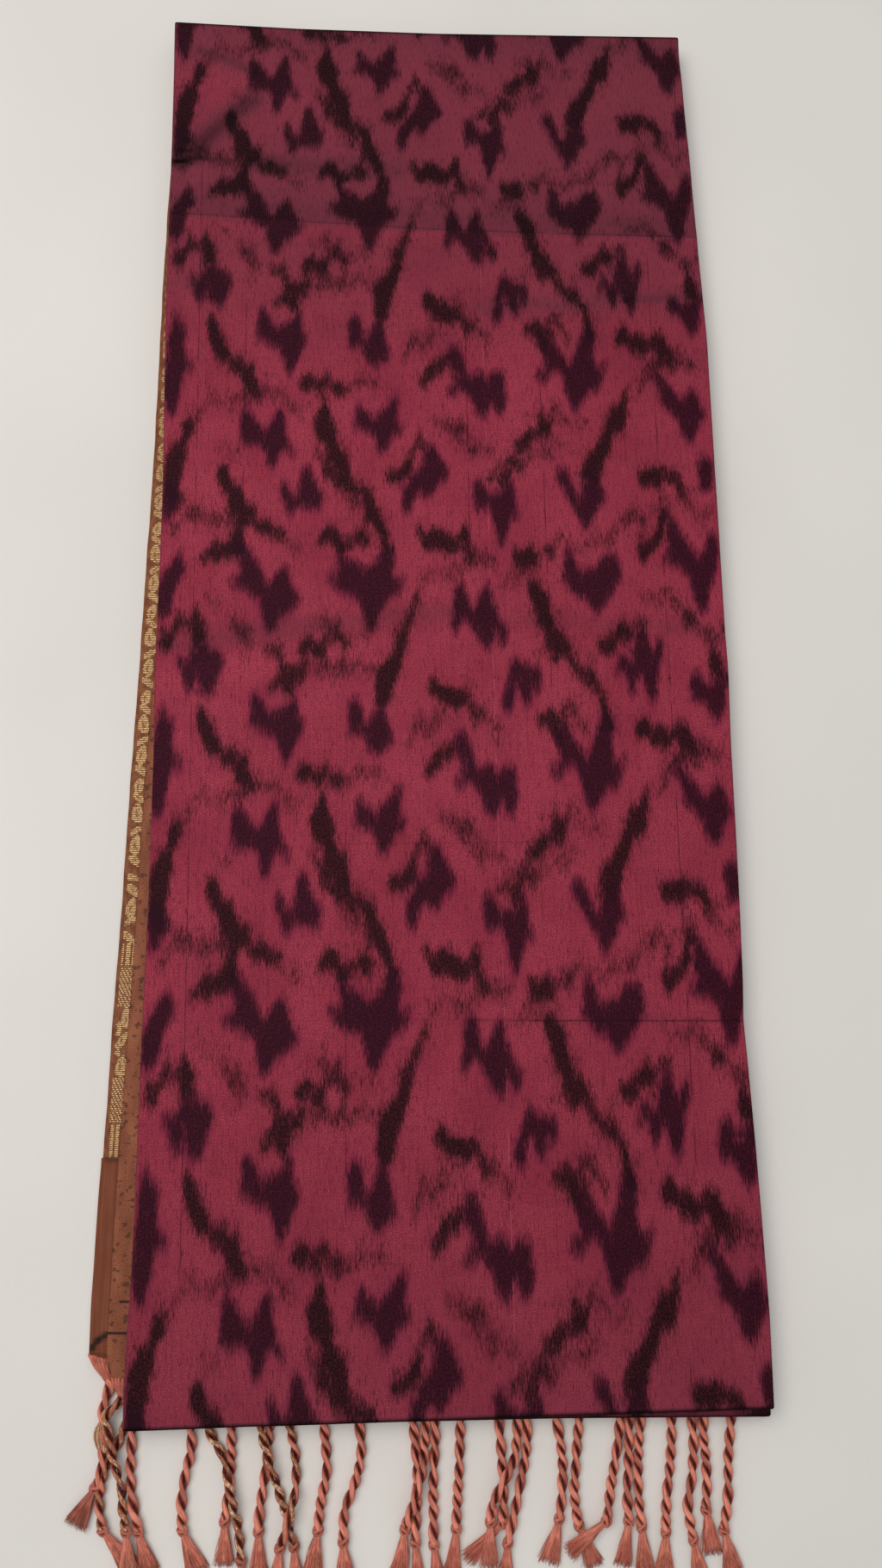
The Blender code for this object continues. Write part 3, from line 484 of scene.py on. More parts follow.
# The dark body inside a skirt: how far along it each ring lies, and how tall it is for its width
SKIRT_BODY = ((0.0, 0.95), (0.12, 0.8), (0.28, 0.62), (0.46, 0.5), (0.64, 0.4), (0.8, 0.3), (0.9, 0.24))
SKIRT_BODY_SIDES = 16
UV_ROUND = 1.6
FLOOR_CLEARANCE = 0.28

# The camera, in the cloth's frame
CAMERA_PLACE = (-33.2, 154.1, 618.5)
CAMERA_TILT = 12.7
CAMERA_ROLL = -2.9
CAMERA_TURN = -0.3286
SENSOR = 36.0
FOCAL_PIXELS = 1450.0
PHOTO_HEIGHT = 1820.0
CLIP_START = 0.01
# The large soft light, in metres from the model's middle
KEY_PLACE = (-0.6, 0.25, 1.75)
KEY_COLOUR = (1.0, 0.975, 0.94)
FLOOR_DROP = 0.2
UP = np.array((0.0, 0.0, 1.0))


# Geometry helpers

def world(points):
    """Points in the cloth's frame, as the model's metres."""
    return (np.asarray(points, float) + SHIFT) * MM


def eased(t):
    """0 below 0 and 1 above 1, with a soft start and stop between."""
    t = np.clip(t, 0.0, 1.0)
    return t * t * (3.0 - 2.0 * t)


def between(low, high, t):
    """The value at a share t of the way from low to high."""
    return low + (high - low) * t


def ripple(x, y, seed):
    """Slow waves, from -1 to 1, that never line up."""
    a = np.sin(x / 23.0 + 1.3 * seed) * np.cos(y / 31.0 - 0.7 * seed)
    b = np.sin(x / 11.0 + y / 37.0 + 2.1 * seed) * 0.6
    c = np.cos(y / 17.0 - x / 41.0 + 3.7 * seed) * 0.5
    return (a + b + c) / 2.1


class Solid:
    """One of the model's solids, measured by rays in the cloth's frame."""

    REACH = 40.0
    LEVELS = (0.15, 0.3, 0.5, 0.7)

    def __init__(self, node):
        mesh = frame["nodes"][node].data
        points = np.array([vert.co for vert in mesh.vertices]) / MM - SHIFT
        self.tree = BVHTree.FromPolygons(points.tolist(), [tuple(p.vertices) for p in mesh.polygons])
        self.points = points
        self.low = points.min(0)
        self.high = points.max(0)
        self.middle = (self.low + self.high) / 2
        self.levels = [between(self.low[2], self.high[2], level) for level in self.LEVELS]

    def corner(self, x_way, y_way):
        """The point furthest out to one side (x_way 1 or -1) and one end (y_way 1 or -1)."""
        return self.points[np.argmax(2 * x_way * self.points[:, 0] + y_way * self.points[:, 1])]

    def _hit(self, start, way, axis):
        found = self.tree.ray_cast(Vector(start), Vector(way))[0]
        return None if found is None else found[axis]

    def edge(self, axis, way, place):
        """Where the solid starts along x (0) or y (1), from its low end (way 1) or its high end (-1)."""
        start = (self.low[axis] - self.REACH) if way > 0 else (self.high[axis] + self.REACH)
        origins = [(start, place, z) if axis == 0 else (place, start, z) for z in self.levels]
        ray = (way, 0, 0) if axis == 0 else (0, way, 0)
        found = [value for value in (self._hit(origin, ray, axis) for origin in origins) if value is not None]
        return (min(found) if way > 0 else max(found)) if found else None

    def underside(self, x, y):
        """The solid's lowest level at a place, or None where it has none."""
        return self._hit((x, y, self.low[2] - self.REACH), (0, 0, 1), 2)


class Edge:
    """One edge of an outline, measured between its two corners and softened a little."""

    SAMPLE = 2.0
    SOFTEN = 4
    CLEAR = 1.4

    def __init__(self, solid, axis, way, start, stop):
        self.places = np.arange(start + self.CLEAR, stop - self.CLEAR, self.SAMPLE)
        found = [solid.edge(axis, way, place) for place in self.places]
        known = [i for i, value in enumerate(found) if value is not None]
        values = np.interp(np.arange(len(found)), known, [found[i] for i in known])
        padded = np.pad(values, self.SOFTEN, mode="reflect", reflect_type="odd")
        window = np.hanning(2 * self.SOFTEN + 3)[1:-1]
        self.values = np.convolve(padded, window / window.sum(), mode="valid")

    def __call__(self, place):
        return np.interp(place, self.places, self.values)


class Outline:
    """The outline of a flat solid: its long edges at any y and its short edges at any x."""

    def __init__(self, solid):
        self.solid = solid
        corners = {(a, b): solid.corner(a, b) for a in (-1, 1) for b in (-1, 1)}
        self.left = Edge(solid, 0, 1, corners[-1, -1][1], corners[-1, 1][1])
        self.right = Edge(solid, 0, -1, corners[1, -1][1], corners[1, 1][1])
        self.near = Edge(solid, 1, 1, corners[-1, -1][0], corners[1, -1][0])
        self.far = Edge(solid, 1, -1, corners[-1, 1][0], corners[1, 1][0])

    def inside(self, x, y, inset):
        """The nearest place at least inset from every edge."""
        x = np.clip(x, self.left(y) + inset, self.right(y) - inset)
        return x, np.clip(y, self.near(x) + inset, self.far(x) - inset)


def add_mesh(name, points, faces, numbers=None, uv=None):
    """A smooth mesh object from points in the cloth's frame, with named numbers at its points."""
    mesh = bpy.data.meshes.new(name)
    mesh.from_pydata(world(points).tolist(), [], [tuple(map(int, face)) for face in faces])
    for key, values in (numbers or {}).items():
        attribute = mesh.attributes.new(key, "FLOAT", "POINT")
        attribute.data.foreach_set("value", np.asarray(values, np.float32))
    if uv is not None:
        corners = np.empty(len(mesh.loops), np.int64)
        mesh.loops.foreach_get("vertex_index", corners)
        layer = mesh.uv_layers.new(name="cloth")
        layer.data.foreach_set("uv", np.asarray(uv, np.float32)[corners].ravel())
    mesh.shade_smooth()
    mesh.validate()
    thing = bpy.data.objects.new(name, mesh)
    bpy.context.scene.collection.objects.link(thing)
    return thing


def hand_over(thing, material, slot, *nodes):
    """Gives a finished piece its material, hangs it from the root and hides the solids that it stands for.
    Its slot is not used.
    """
    thing.data.materials.append(material)
    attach(thing, "root")
    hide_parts(*nodes)


def grid(rows, columns):
    """Faces of a grid of points, numbered row by row."""
    index = np.arange(rows * columns).reshape(rows, columns)
    corners = index[:-1, :-1], index[:-1, 1:], index[1:, 1:], index[1:, :-1]
    return np.stack(corners, axis=-1).reshape(-1, 4).tolist()


def ring_faces(first, second):
    """Faces between two rings of equally many points, which run anticlockwise, the first one outside."""
    return np.stack((first, second, np.roll(second, -1), np.roll(first, -1)), axis=-1).tolist()


def rolled(distance, roll):
    """How full the cloth is at a distance from a folded edge: 0 at the edge and 1 past the roll."""
    t = np.clip(distance / roll, 0.0, 1.0)
    return np.sqrt(1.0 - (1.0 - t) ** 2)


EDGE_STEPS = np.array((0.0, 0.1, 0.3, 0.62, 1.1))
UNDER_STEPS = (0.15, 0.5, 1.0)
UNDER_REACH = 1.6
CORNER_ROUNDING = 0.28
SETTLE_STEPS = 6


def places_across(inner, size, roll):
    """Shares of a size: extra ones where the edges roll, and the inner ones between."""
    ends = EDGE_STEPS * roll / size
    inner = [share for share in inner if ends[-1] < share < 1.0 - ends[-1]]
    return np.concatenate((ends, inner, 1.0 - ends[::-1]))


def fold_shell(node, across, along, roll, corner, height=None):
    """The closed skin of a flat fold of cloth, on its solid's form.

    across and along are shares of the fold's width and length. The long and short edges roll over,
    the corners are rounded in plan, and height(x, y) raises the upper face. It gives the points, the
    faces, each point's distance from the left edge, and its painted_edge_shade.
    """
    solid = Solid(node)
    outline = Outline(solid)
    s, v = np.meshgrid(across, along)
    x = between(solid.low[0], solid.high[0], s)
    y = between(solid.low[1], solid.high[1], v)
    for _ in range(SETTLE_STEPS):
        y = between(outline.near(x), outline.far(x), v)
        x = between(outline.left(y), outline.right(y), s)
    from_side = np.minimum(x - outline.left(y), outline.right(y) - x)
    from_end = np.minimum(y - outline.near(x), outline.far(x) - y)
    pull = eased(1.0 - from_side / corner) * eased(1.0 - from_end / corner)
    x_mid, y_mid, _ = solid.middle
    low = solid.low[2]
    high = low + height.wall if height else solid.high[2]
    middle = (low + high) / 2
    full = rolled(from_side, roll) * rolled(from_end, roll)
    top = middle + (high - middle) * full
    if height:
        top = top + height(x, y) * full
    x = x - np.sign(x - x_mid) * pull * corner * CORNER_ROUNDING
    y = y - np.sign(y - y_mid) * pull * corner * CORNER_ROUNDING
    rows, columns = x.shape
    points = np.stack((x, y, top), axis=-1).reshape(-1, 3)
    index = np.arange(rows * columns).reshape(rows, columns)
    rim = np.concatenate((index[0, :-1], index[:-1, -1], index[-1, :0:-1], index[:0:-1, 0]))
    faces = grid(rows, columns)
    outer = rim
    for share in UNDER_STEPS:
        x_in, y_in = outline.inside(points[rim, 0], points[rim, 1], share * roll * UNDER_REACH)
        z_in = np.full(len(rim), middle - (middle - low) * rolled(share * roll, roll))
        inner = np.arange(len(points), len(points) + len(rim))
        points = np.concatenate((points, np.stack((x_in, y_in, z_in), axis=-1)))
        faces += ring_faces(outer, inner)
        outer = inner
    faces.append(tuple(outer[::-1]))
    px, py = points[:, 0], points[:, 1]
    left = outline.left(py)
    from_side = np.minimum(px - left, outline.right(py) - px)
    edges = painted_edge_shade(py - outline.near(px), outline.far(px) - py, from_side)
    return points, faces, px - left, edges


# The ikat's chart

def stroke(density, x, y, points, lumps):
    """Dyes a tapered stroke through the points into density, with a lumpy outline."""
    for (x_a, y_a, r_a), (x_b, y_b, r_b) in zip(points, points[1:]):
        dx, dy = x_b - x_a, y_b - y_a
        t = np.clip(((x - x_a) * dx + (y - y_a) * dy) / max(dx * dx + dy * dy, 1e-6), 0, 1)
        away = np.hypot(x - x_a - dx * t, (y - y_a - dy * t) * STROKE_STRETCH)
        inside = between(r_a, r_b, t) + lumps - away
        np.maximum(density, eased(0.5 + inside / STROKE_FADE), out=density)


def plump(points):
    """A petal's stroke with blunt ends, pulled in a little where it grows wider."""
    points = [np.array(point, float) for point in points]
    for end, beside in ((0, 1), (-1, -2)):
        grown = max(0.0, PETAL_THINNEST - points[end][2])
        step = points[beside][:2] - points[end][:2]
        points[end][:2] += step / np.hypot(*step) * min(grown + 1.0, 0.6 * np.hypot(*step))
    return [(x, y, max(PETAL_THINNEST, PETAL_GROWTH * r)) for x, y, r in points]


def leaflets(density, points):
    """Short strokes that stand off a spray's stem on either side, fainter than the stem."""
    strokes = []
    side = 1.0
    for (x_a, y_a, r_a), (x_b, y_b, r_b) in zip(points, points[1:]):
        length = np.hypot(x_b - x_a, y_b - y_a)
        for part in np.arange(0.5 * LEAFLET_GAP, length, LEAFLET_GAP) / length:
            turn = np.arctan2(y_b - y_a, x_b - x_a) + side * LEAFLET_TURN
            x, y, r = between(x_a, x_b, part), between(y_a, y_b, part), between(r_a, r_b, part)
            reach = LEAFLET_LENGTH + 0.7 * r
            tip = (x + reach * cos(turn), y + reach * sin(turn), LEAFLET_TIP)
            strokes.append((LEAFLET_SHARE * density, (x, y, LEAFLET_ROOT), tip))
            side = -side
    return strokes


def softened(field, sigma, axis):
    """The field blurred along one axis, across which the chart repeats or ends."""
    reach = int(3 * sigma + 1)
    offsets = np.arange(-reach, reach + 1)
    weights = np.exp(-0.5 * (offsets / sigma) ** 2)
    blurred = sum(weight * np.roll(field, offset, axis) for weight, offset in zip(weights, offsets))
    return blurred / weights.sum()


class IkatChart:
    """How densely blossoms and sprays are dyed over one repeat."""

    def __init__(self):
        xs = np.arange(-CHART_HALF_WIDTH, CHART_HALF_WIDTH + CHART_STEP, CHART_STEP)
        ys = np.arange(0.0, REPEAT, CHART_STEP)
        self.shape = (len(ys), len(xs))
        x, y = np.meshgrid(xs, ys)
        chance = np.random.default_rng(CHART_SEED)
        lumps = softened(softened(chance.normal(0, 1, self.shape), 1.8, 0), 1.1, 1)
        self.lumps = CHART_LUMPS * lumps / lumps.std() * 0.5
        slips = chance.normal(0, 1, len(xs))
        slips = 0.7 * slips + 0.5 * np.roll(slips, 1) + softened(chance.normal(0, 2.0, len(xs)), 2.5, 0)
        y = y + CHART_SLIP * slips / slips.std() * 0.6
        groups = np.repeat(chance.normal(0, 1, len(xs) // GROUP_COLUMNS + 1), GROUP_COLUMNS)[:len(xs)]
        groups = GROUP_SLIP * softened(groups, 0.5, 0)
        y = y + 0.9 * groups
        petals = [(1.0, *plump(petal)) for blossom in BLOSSOMS for petal in blossom]
        self.blossom = self.dyed(x, y, petals)
        leaves = [(density, *((px, py, SPRAY_GROWTH * r + 0.3) for px, py, r in points))
                  for density, *points in SPRAYS]
        leaves += [leaflet for density, *points in SPRAYS for leaflet in leaflets(density, points)]
        y = y + CHART_SLIP * softened(chance.normal(0, 1, len(xs)), 0.8, 0)
        self.spray = self.dyed(x, y, leaves)

    def dyed(self, x, y, strokes):
        """How much dye the strokes leave over one repeat, with softened edges."""
        total = np.zeros_like(x)
        for density, *points in strokes:
            one = np.zeros_like(x)
            for wrap in (-REPEAT, 0.0, REPEAT):
                shifted = [(px, py - CHART_START + wrap, r) for px, py, r in points]
                along = [point[1] for point in shifted]
                if min(along) < REPEAT + STROKE_REACH and max(along) > -STROKE_REACH:
                    stroke(one, x, y, shifted, self.lumps)
            np.maximum(total, density * one, out=total)
        total = softened(total, CHART_BLUR_ALONG / CHART_STEP, 0)
        return softened(total, CHART_BLUR_ACROSS / CHART_STEP, 1)

    def at(self, field, x, y):
        """A field at places on the cloth, with the small slips that each repeat of the weaving has."""
        x, y = x - 2.2 * eased((130.0 - y) / 80.0) * eased(x / 100.0), y + slipped(x, y)
        turn = np.floor((y - CHART_START) / REPEAT)
        x = x + 0.9 * np.sin(y / 47.0 + turn) + 0.5 * np.sin(y / 19.0)
        y = y + 1.2 * np.sin(x / 37.0 + 2.0 * turn) + 0.8 * np.sin(x / 13.0 + turn)
        column = np.clip((x + CHART_HALF_WIDTH) / CHART_STEP, 0, self.shape[1] - 1.001)
        row = ((y - CHART_START) % REPEAT) / CHART_STEP
        c, r = column.astype(int), row.astype(int) % self.shape[0]
        fc, fr = column - c, row - row.astype(int)
        below, above = field[r], field[(r + 1) % self.shape[0]]
        i = np.arange(len(c))
        low = between(below[i, c], below[i, c + 1], fc)
        high = between(above[i, c], above[i, c + 1], fc)
        return between(low, high, fr)


def slipped(x, y):
    """How far the woven repeats have slipped towards the near edge, at places on the cloth."""
    right = x / 145.0
    near = 8.0 * eased((135.0 - y) / 85.0) * (0.75 + 0.35 * right)
    middle = 4.4 * np.exp(-((y - 500.0) / 62.0) ** 2) * (1.0 - 0.6 * right)
    far = 3.4 * eased((y - 560.0) / 100.0) * (1.0 - 0.6 * right)
    return near + middle + far + 1.5 * np.exp(-((y - 187.0) / 25.0) ** 2 - ((x + 30.0) / 50.0) ** 2)


def crease_parts(x, y):
    """The height, and the painted light and shade, that the creases give at places on the top fold."""
    height = np.zeros_like(x)
    tone = np.zeros_like(x)
    for x_from, y_from, x_to, y_to, deep, half_width, dim in CREASES:
        length = np.hypot(x_to - x_from, y_to - y_from)
        ux, uy = (x_to - x_from) / length, (y_to - y_from) / length
        along = (x - x_from) * ux + (y - y_from) * uy
        waver = 0.5 * np.sin(along / 9.0 + y_from) + 0.35 * np.sin(along / 23.0 + x_to)
        beside = np.abs((y - y_from) * ux - (x - x_from) * uy + waver)
        ends = eased(0.5 + np.minimum(along, length - along) / CREASE_FADE)
        share = ends * eased(1.0 - beside / half_width)
        height += deep * share
        tone += dim * share
    return height, tone


class TopHeight:
    """The top fold's wall and its creases."""

    wall = 2.2

    def __init__(self, far_edge):
        self.far_edge = far_edge

    def __call__(self, x, y):
        main = np.interp(x, *MAIN_CREASE)
        height = -FAR_FALL * eased((y - main) / FAR_FALL_LENGTH)
        from_far = self.far_edge(x) - y
        height -= FAR_ROLL * eased(1.0 - from_far / FAR_ROLL_LENGTH)
        return height + crease_parts(x, y)[0] + RIPPLE * ripple(x, y, 1.0)


def corner_drawn(points, left):
    """The top fold's points with the near left corner drawn out a little, as a laid cloth's is."""
    along = eased(1.0 - points[:, 1] / CORNER_PULL_REACH[0])
    across = eased(1.0 - (points[:, 0] - left) / CORNER_PULL_REACH[1])
    moved = points.copy()
    moved[:, 0] -= CORNER_PULL[0] * along * across
    moved[:, 1] -= CORNER_PULL[1] * along * across
    return moved


def painted_edge_shade(from_near, from_far, from_side):
    """Painted shade on the rolled edges: most at the near and far edges, least at the sides."""
    return (1.0 - 0.92 * eased(1.7 - from_near / 1.05) - 0.72 * eased(1.5 - from_far / 1.3)
            - 0.3 * eased(1.1 - from_side / 1.0))


def painted_ground_shading(x, y):
    """The painted light and shade of the silk's ground at places on the top fold, 1 in its middle."""
    main = np.interp(x, *MAIN_CREASE) + 0.6 * np.sin(x / 8.0) + 0.5 * np.sin(x / 21.0)
    below = np.interp(y, *PAINTED_GROUND_SHADE)
    above = np.interp(y - main, *PAINTED_GROUND_SHADE_ABOVE)
    # A painted highlight near the far left corner
    above = above + 0.12 * np.exp(-((x + 121) / 26.0) ** 2 - ((y - 692) / 20.0) ** 2)
    tone = between(below, above, eased((y - main) / 2.4 + 0.5))
    # A little darker towards the right, and varied at random
    tone = tone * (1.0 - 0.05 * eased((x - 20) / 110.0) + 0.02 * ripple(x, y, 4.0))
    # The creases' painted light and shade
    return tone + crease_parts(x, y)[1]


def ikat_numbers(chart, points, tone, slide=0.0):
    """The ikat's numbers at points, with the design slid so far along the cloth."""
    x, y = points[:, 0], points[:, 1] + slide
    return {"blossom": chart.at(chart.blossom, x, y), "spray": chart.at(chart.spray, x, y), "tone": tone}


# Shaders

def maths(operation, turned=False):
    """A Wire's method that adds a Math node to its tree."""
    def method(self, *others):
        values = (*others, self) if turned else (self, *others)
        return self.tree.add("ShaderNodeMath", {"operation": operation}, dict(enumerate(values)))
    return method


class Wire:
    """A socket in a node tree. Its operators add Math nodes to the tree."""

    __add__ = maths("ADD")
    __radd__ = maths("ADD", turned=True)
    __sub__ = maths("SUBTRACT")
    __rsub__ = maths("SUBTRACT", turned=True)
    __mul__ = maths("MULTIPLY")
    __rmul__ = maths("MULTIPLY", turned=True)
    __truediv__ = maths("DIVIDE")
    size = maths("ABSOLUTE")
    whole = maths("FLOOR")
    wrapped = maths("FLOORED_MODULO")

    def __init__(self, tree, socket):
        self.tree = tree
        self.socket = socket

    def smooth(self, low, high):
        """0 below low and 1 above high, or turned round where low is the higher."""
        return self.tree.add(
            "ShaderNodeMapRange", {"interpolation_type": "SMOOTHSTEP"},
            {"Value": self, "From Min": low, "From Max": high},
        )


class Finish:
    """A material, with one method that adds any node."""

    def __init__(self, name, constants):
        self.material = bpy.data.materials.new(name)
        self.material.use_nodes = True
        self.tree = self.material.node_tree
        self.shader = self.tree.nodes["Principled BSDF"]
        for key, value in constants.items():
            self.shader.inputs[key].default_value = value

    def node(self, kind, settings=None, sockets=None):
        """A new node with these settings, and with values or wires at its sockets."""
        node = self.tree.nodes.new(kind)
        for key, value in (settings or {}).items():
            setattr(node, key, value)
        for key, value in (sockets or {}).items():
            self.join(value, node.inputs[key])
        return node

    def add(self, kind, settings=None, sockets=None, output=0):
        """One output of a new node."""
        return Wire(self, self.node(kind, settings, sockets).outputs[output])

    def join(self, value, socket):
        if isinstance(value, Wire):
            self.tree.links.new(value.socket, socket)
        else:
            socket.default_value = value

    def colour(self, value):
        return (*value, 1.0) if not isinstance(value, Wire) and len(value) == 3 else value

    def mix(self, low, high, share):
        """A colour from low to high. Its sockets are told apart by number, as they share names."""
        sockets = {0: share, 6: self.colour(low), 7: self.colour(high)}
        return self.add("ShaderNodeMix", {"data_type": "RGBA"}, sockets, 2)

    def toned(self, colour, tone):
        """The colour made lighter or darker by a number."""
        return self.scaled(colour, self.add("ShaderNodeCombineXYZ", {}, {0: tone, 1: tone, 2: tone}))

    def scaled(self, vector, factors):
        return self.add("ShaderNodeVectorMath", {"operation": "MULTIPLY"}, {0: vector, 1: factors})

    def place(self):
        """Where a point lies on the object, in metres."""
        return self.add("ShaderNodeTexCoord", output="Object")

    def cloth_uv(self):
        """Where a point lies across and along its cloth or yarn, in metres."""
        return self.add("ShaderNodeUVMap", {"uv_map": "cloth"})

    def apart(self, vector):
        """A vector's three parts."""
        return [Wire(self, socket) for socket in self.node("ShaderNodeSeparateXYZ", {}, {0: vector}).outputs]

    def number(self, name):
        """A number that the mesh holds at each point."""
        return self.add("ShaderNodeAttribute", {"attribute_name": name}, output="Fac")

    def noise(self, vector, sizes, detail=2.0, roughness=0.5):
        """Noise whose grain has these sizes in millimetres."""
        factors = tuple(1.0 / (size * MM) if size else 0.0 for size in sizes)
        return self.add(
            "ShaderNodeTexNoise", {},
            {"Vector": self.scaled(vector, factors), "Scale": 1.0, "Detail": detail, "Roughness": roughness},
        )

    def surface(self, colour, roughness, height=None, relief=0.1):
        """Links the finish's colour, roughness and relief. Relief is in millimetres."""
        self.join(colour, self.shader.inputs["Base Color"])
        self.join(roughness, self.shader.inputs["Roughness"])
        if height is not None:
            sockets = {"Strength": 1.0, "Distance": relief * MM, "Height": height}
            bump = self.add("ShaderNodeBump", {}, sockets)
            self.join(bump, self.shader.inputs["Normal"])
        return self.material


# Slubs: thin vertical threads that are lighter (1) or darker (-1) than their neighbours
SLUBS = (
    # x at the near edge, lean over the length, from y, to y, light
    (28.2, -3.5, 20, 640, 1),
    (-122.4, -5.5, 70, 650, -1),
    (115, 4, 110, 600, -1),
    (15.2, 1.6, 400, 545, -1),
    (-48.3, 0.4, 90, 270, -1),
    (-102, 0.8, 440, 560, -1),
    (56.6, -1, 330, 500, -1),
    (139, 1, 540, 720, -1),
)
BODY_LENGTH = 734.0
SLUB_HALF_WIDTH = 0.30
SLUB_FADE = 0.01
# Thin pressed creases across the cloth, painted as dark lines of shade
FOLD_LINES = (
    # y at the middle, lean, from x, to x, how dark
    (260.4, 0, -61, 55, 0.2),
    (174.6, -0.016, 45, 147, 0.52),
    (174.7, -0.014, 14, 45, 0.36),
    (175, -0.008, -138, 14, 0.09),
    (603.2, -0.052, -146, 0, 0.3),
    (603, -0.014, 0, 146, 0.4),
)
FOLD_LINE_FADE = 0.006
# Dark weft lines in the tissue: how far along the pallu, from how far in, to how far in
WEFT_LINES = ((51.0, 5.0, 9.5), (37.6, 0.3, 9.5))
WEFT_LINE_FADE = 0.6


def kept_between(line, place, start, stop, fade):
    """The line where place lies from start to stop, fading out past them."""
    return line * place.smooth(start - fade, start) * place.smooth(stop + fade, stop)


def ikat_silk(name, look):
    """Warp ikat: dyed yarns slip along the cloth, so that each motif's ends are feathered."""
    f = Finish(name, {
        "Sheen Weight": 0.015, "Sheen Roughness": 0.5, "Sheen Tint": (0.8, 0.3, 0.42, 1.0),
        "Specular IOR Level": 0.05,
    })
    spot = f.place()
    yarn = f.noise(spot, (look.yarn / MM, look.feather / MM, 0), 2.0, 0.6)
    fleck = f.noise(spot, (look.yarn / MM * 0.95, look.feather / MM * 0.48, 0), 2.0, 0.6)
    grain = f.noise(spot, (0.42, 0.42, 0), 2.0, 0.7)
    slip = (yarn - 0.5) * 1.1 + (fleck - 0.5) * 1.0
    blossom = (f.number("blossom") + slip * 1.15).smooth(0.0, 0.88)
    spray = (f.number("spray") + slip * 0.6 + (fleck - 0.5) * 0.7).smooth(0.0, 0.76)

    speck = f.noise(spot, (0.55, 0.5, 0), 1.0)
    weft = f.noise(spot, (14.0, 0.7, 0))
    warp = f.noise(spot, (0.6, 40.0, 0))
    cloud = f.noise(spot, (45.0, 60.0, 0))
    ground = f.mix(look.ground, look.ground_bright, speck.smooth(0.48, 0.68))
    ground = f.mix(ground, look.ground_deep, warp.smooth(0.50, 0.30) * 0.4 + cloud.smooth(0.6, 0.3) * 0.3)
    ground = f.mix(ground, look.ground_deep, weft.smooth(0.56, 0.76) * 0.5)
    tint = f.noise(spot, (32.0, 26.0, 0)).smooth(0.46, 0.62) * 0.25
    ground = f.mix(ground, look.bleed, tint + f.number("blossom").smooth(0.03, 0.35) * 0.5)
    # Where the painted shade is deep, the ground turns to its cooler shade colour
    ground = f.mix(ground, look.ground_cool, f.number("tone").smooth(0.95, 0.45) * 0.85)

    x, y, _ = f.apart(spot)
    broken = f.noise(spot, (0, 16.0, 0), 1.0).smooth(0.34, 0.56)
    for base, lean, start, stop, light in SLUBS:
        x_line = (base + SHIFT[0]) * MM + lean * (y - SHIFT[1] * MM) / BODY_LENGTH
        line = (x - x_line).size().smooth(SLUB_HALF_WIDTH * MM, SLUB_HALF_WIDTH * MM * 0.3)
        start, stop = ((end + SHIFT[1]) * MM for end in (start, stop))
        line = kept_between(line, y, start, stop, SLUB_FADE) * broken
        ground = f.mix(ground, look.ground_bright if light > 0 else look.blossom, line * 0.75)
    fill = f.noise(spot, (0.9, 1.1, 0), 2.0, 0.7).smooth(0.66, 0.40) * 0.18 + 0.82
    dyed = f.mix(ground, look.spray, spray * fill)
    dyed = f.mix(dyed, look.blossom, blossom * fill)
    for y_line, lean, start, stop, dark in FOLD_LINES:
        line = (y - (y_line + SHIFT[1]) * MM - (x - SHIFT[0] * MM) * lean).size().smooth(0.9 * MM, 0.1 * MM)
        start, stop = ((end + SHIFT[0]) * MM for end in (start, stop))
        line = kept_between(line, x, start, stop, FOLD_LINE_FADE)
        # Painted shade along each pressed crease
        dyed = f.mix(dyed, look.spray, line * weft.smooth(0.30, 0.50) * dark)
    # The painted light and shade of the tone number, over a fine grain
    dyed = f.toned(dyed, f.number("tone") * (0.32 + grain * 1.36))
    height = grain * 0.6 + weft * 0.5 + warp * 0.35
    return f.surface(dyed, 0.52 + grain * 0.16, height, look.relief / MM)


def brocade(look):
    """Brown satin with figures of gold thread, woven in short dashes."""
    f = Finish("zari_brocade_weave", {"Specular IOR Level": 0.15})
    place = f.cloth_uv()
    across, along, _ = f.apart(place)
    waver = f.noise(place, (1.6, 9.0, 0), 1.0)
    rows = along / look.dash_pitch + waver * 0.5
    row = rows.whole()
    dash = (rows - row - 0.5).size().smooth(0.46, 0.22)
    step = (across + row * look.dash_length * 0.31).wrapped(look.dash_length) / look.dash_length
    gap = (step - 0.5).size().smooth(0.30, 0.42)
    open_weave = f.number("open")
    wear = f.noise(place, (0.9, 0.95, 0), 1.0).smooth(0.30, 0.42)
    gold = f.number("zari").smooth(0.35, 0.6) * dash * (1.0 - gap * open_weave) * wear
    shade = f.noise(place, (3.0, 5.0, 0), 3.0)
    fibre = f.noise(place, (0.3, 2.4, 0))
    brown = f.mix(look.brown_light, look.brown, shade.smooth(0.35, 0.65))
    brown = f.mix(brown, look.brown_deep, fibre.smooth(0.55, 0.75) * 0.6)
    gleam = f.noise(place, (0.8, 0.5, 0))
    thread = f.mix(look.gold_deep, look.gold, gleam.smooth(0.3, 0.62))
    # The tone's painted shade darkens the whole weave
    colour = f.toned(f.mix(brown, thread, gold), f.number("tone"))
    f.join(gold * 0.3, f.shader.inputs["Metallic"])
    return f.surface(colour, 0.56 - gold * 0.2, gold + fibre * 0.35, 0.22)


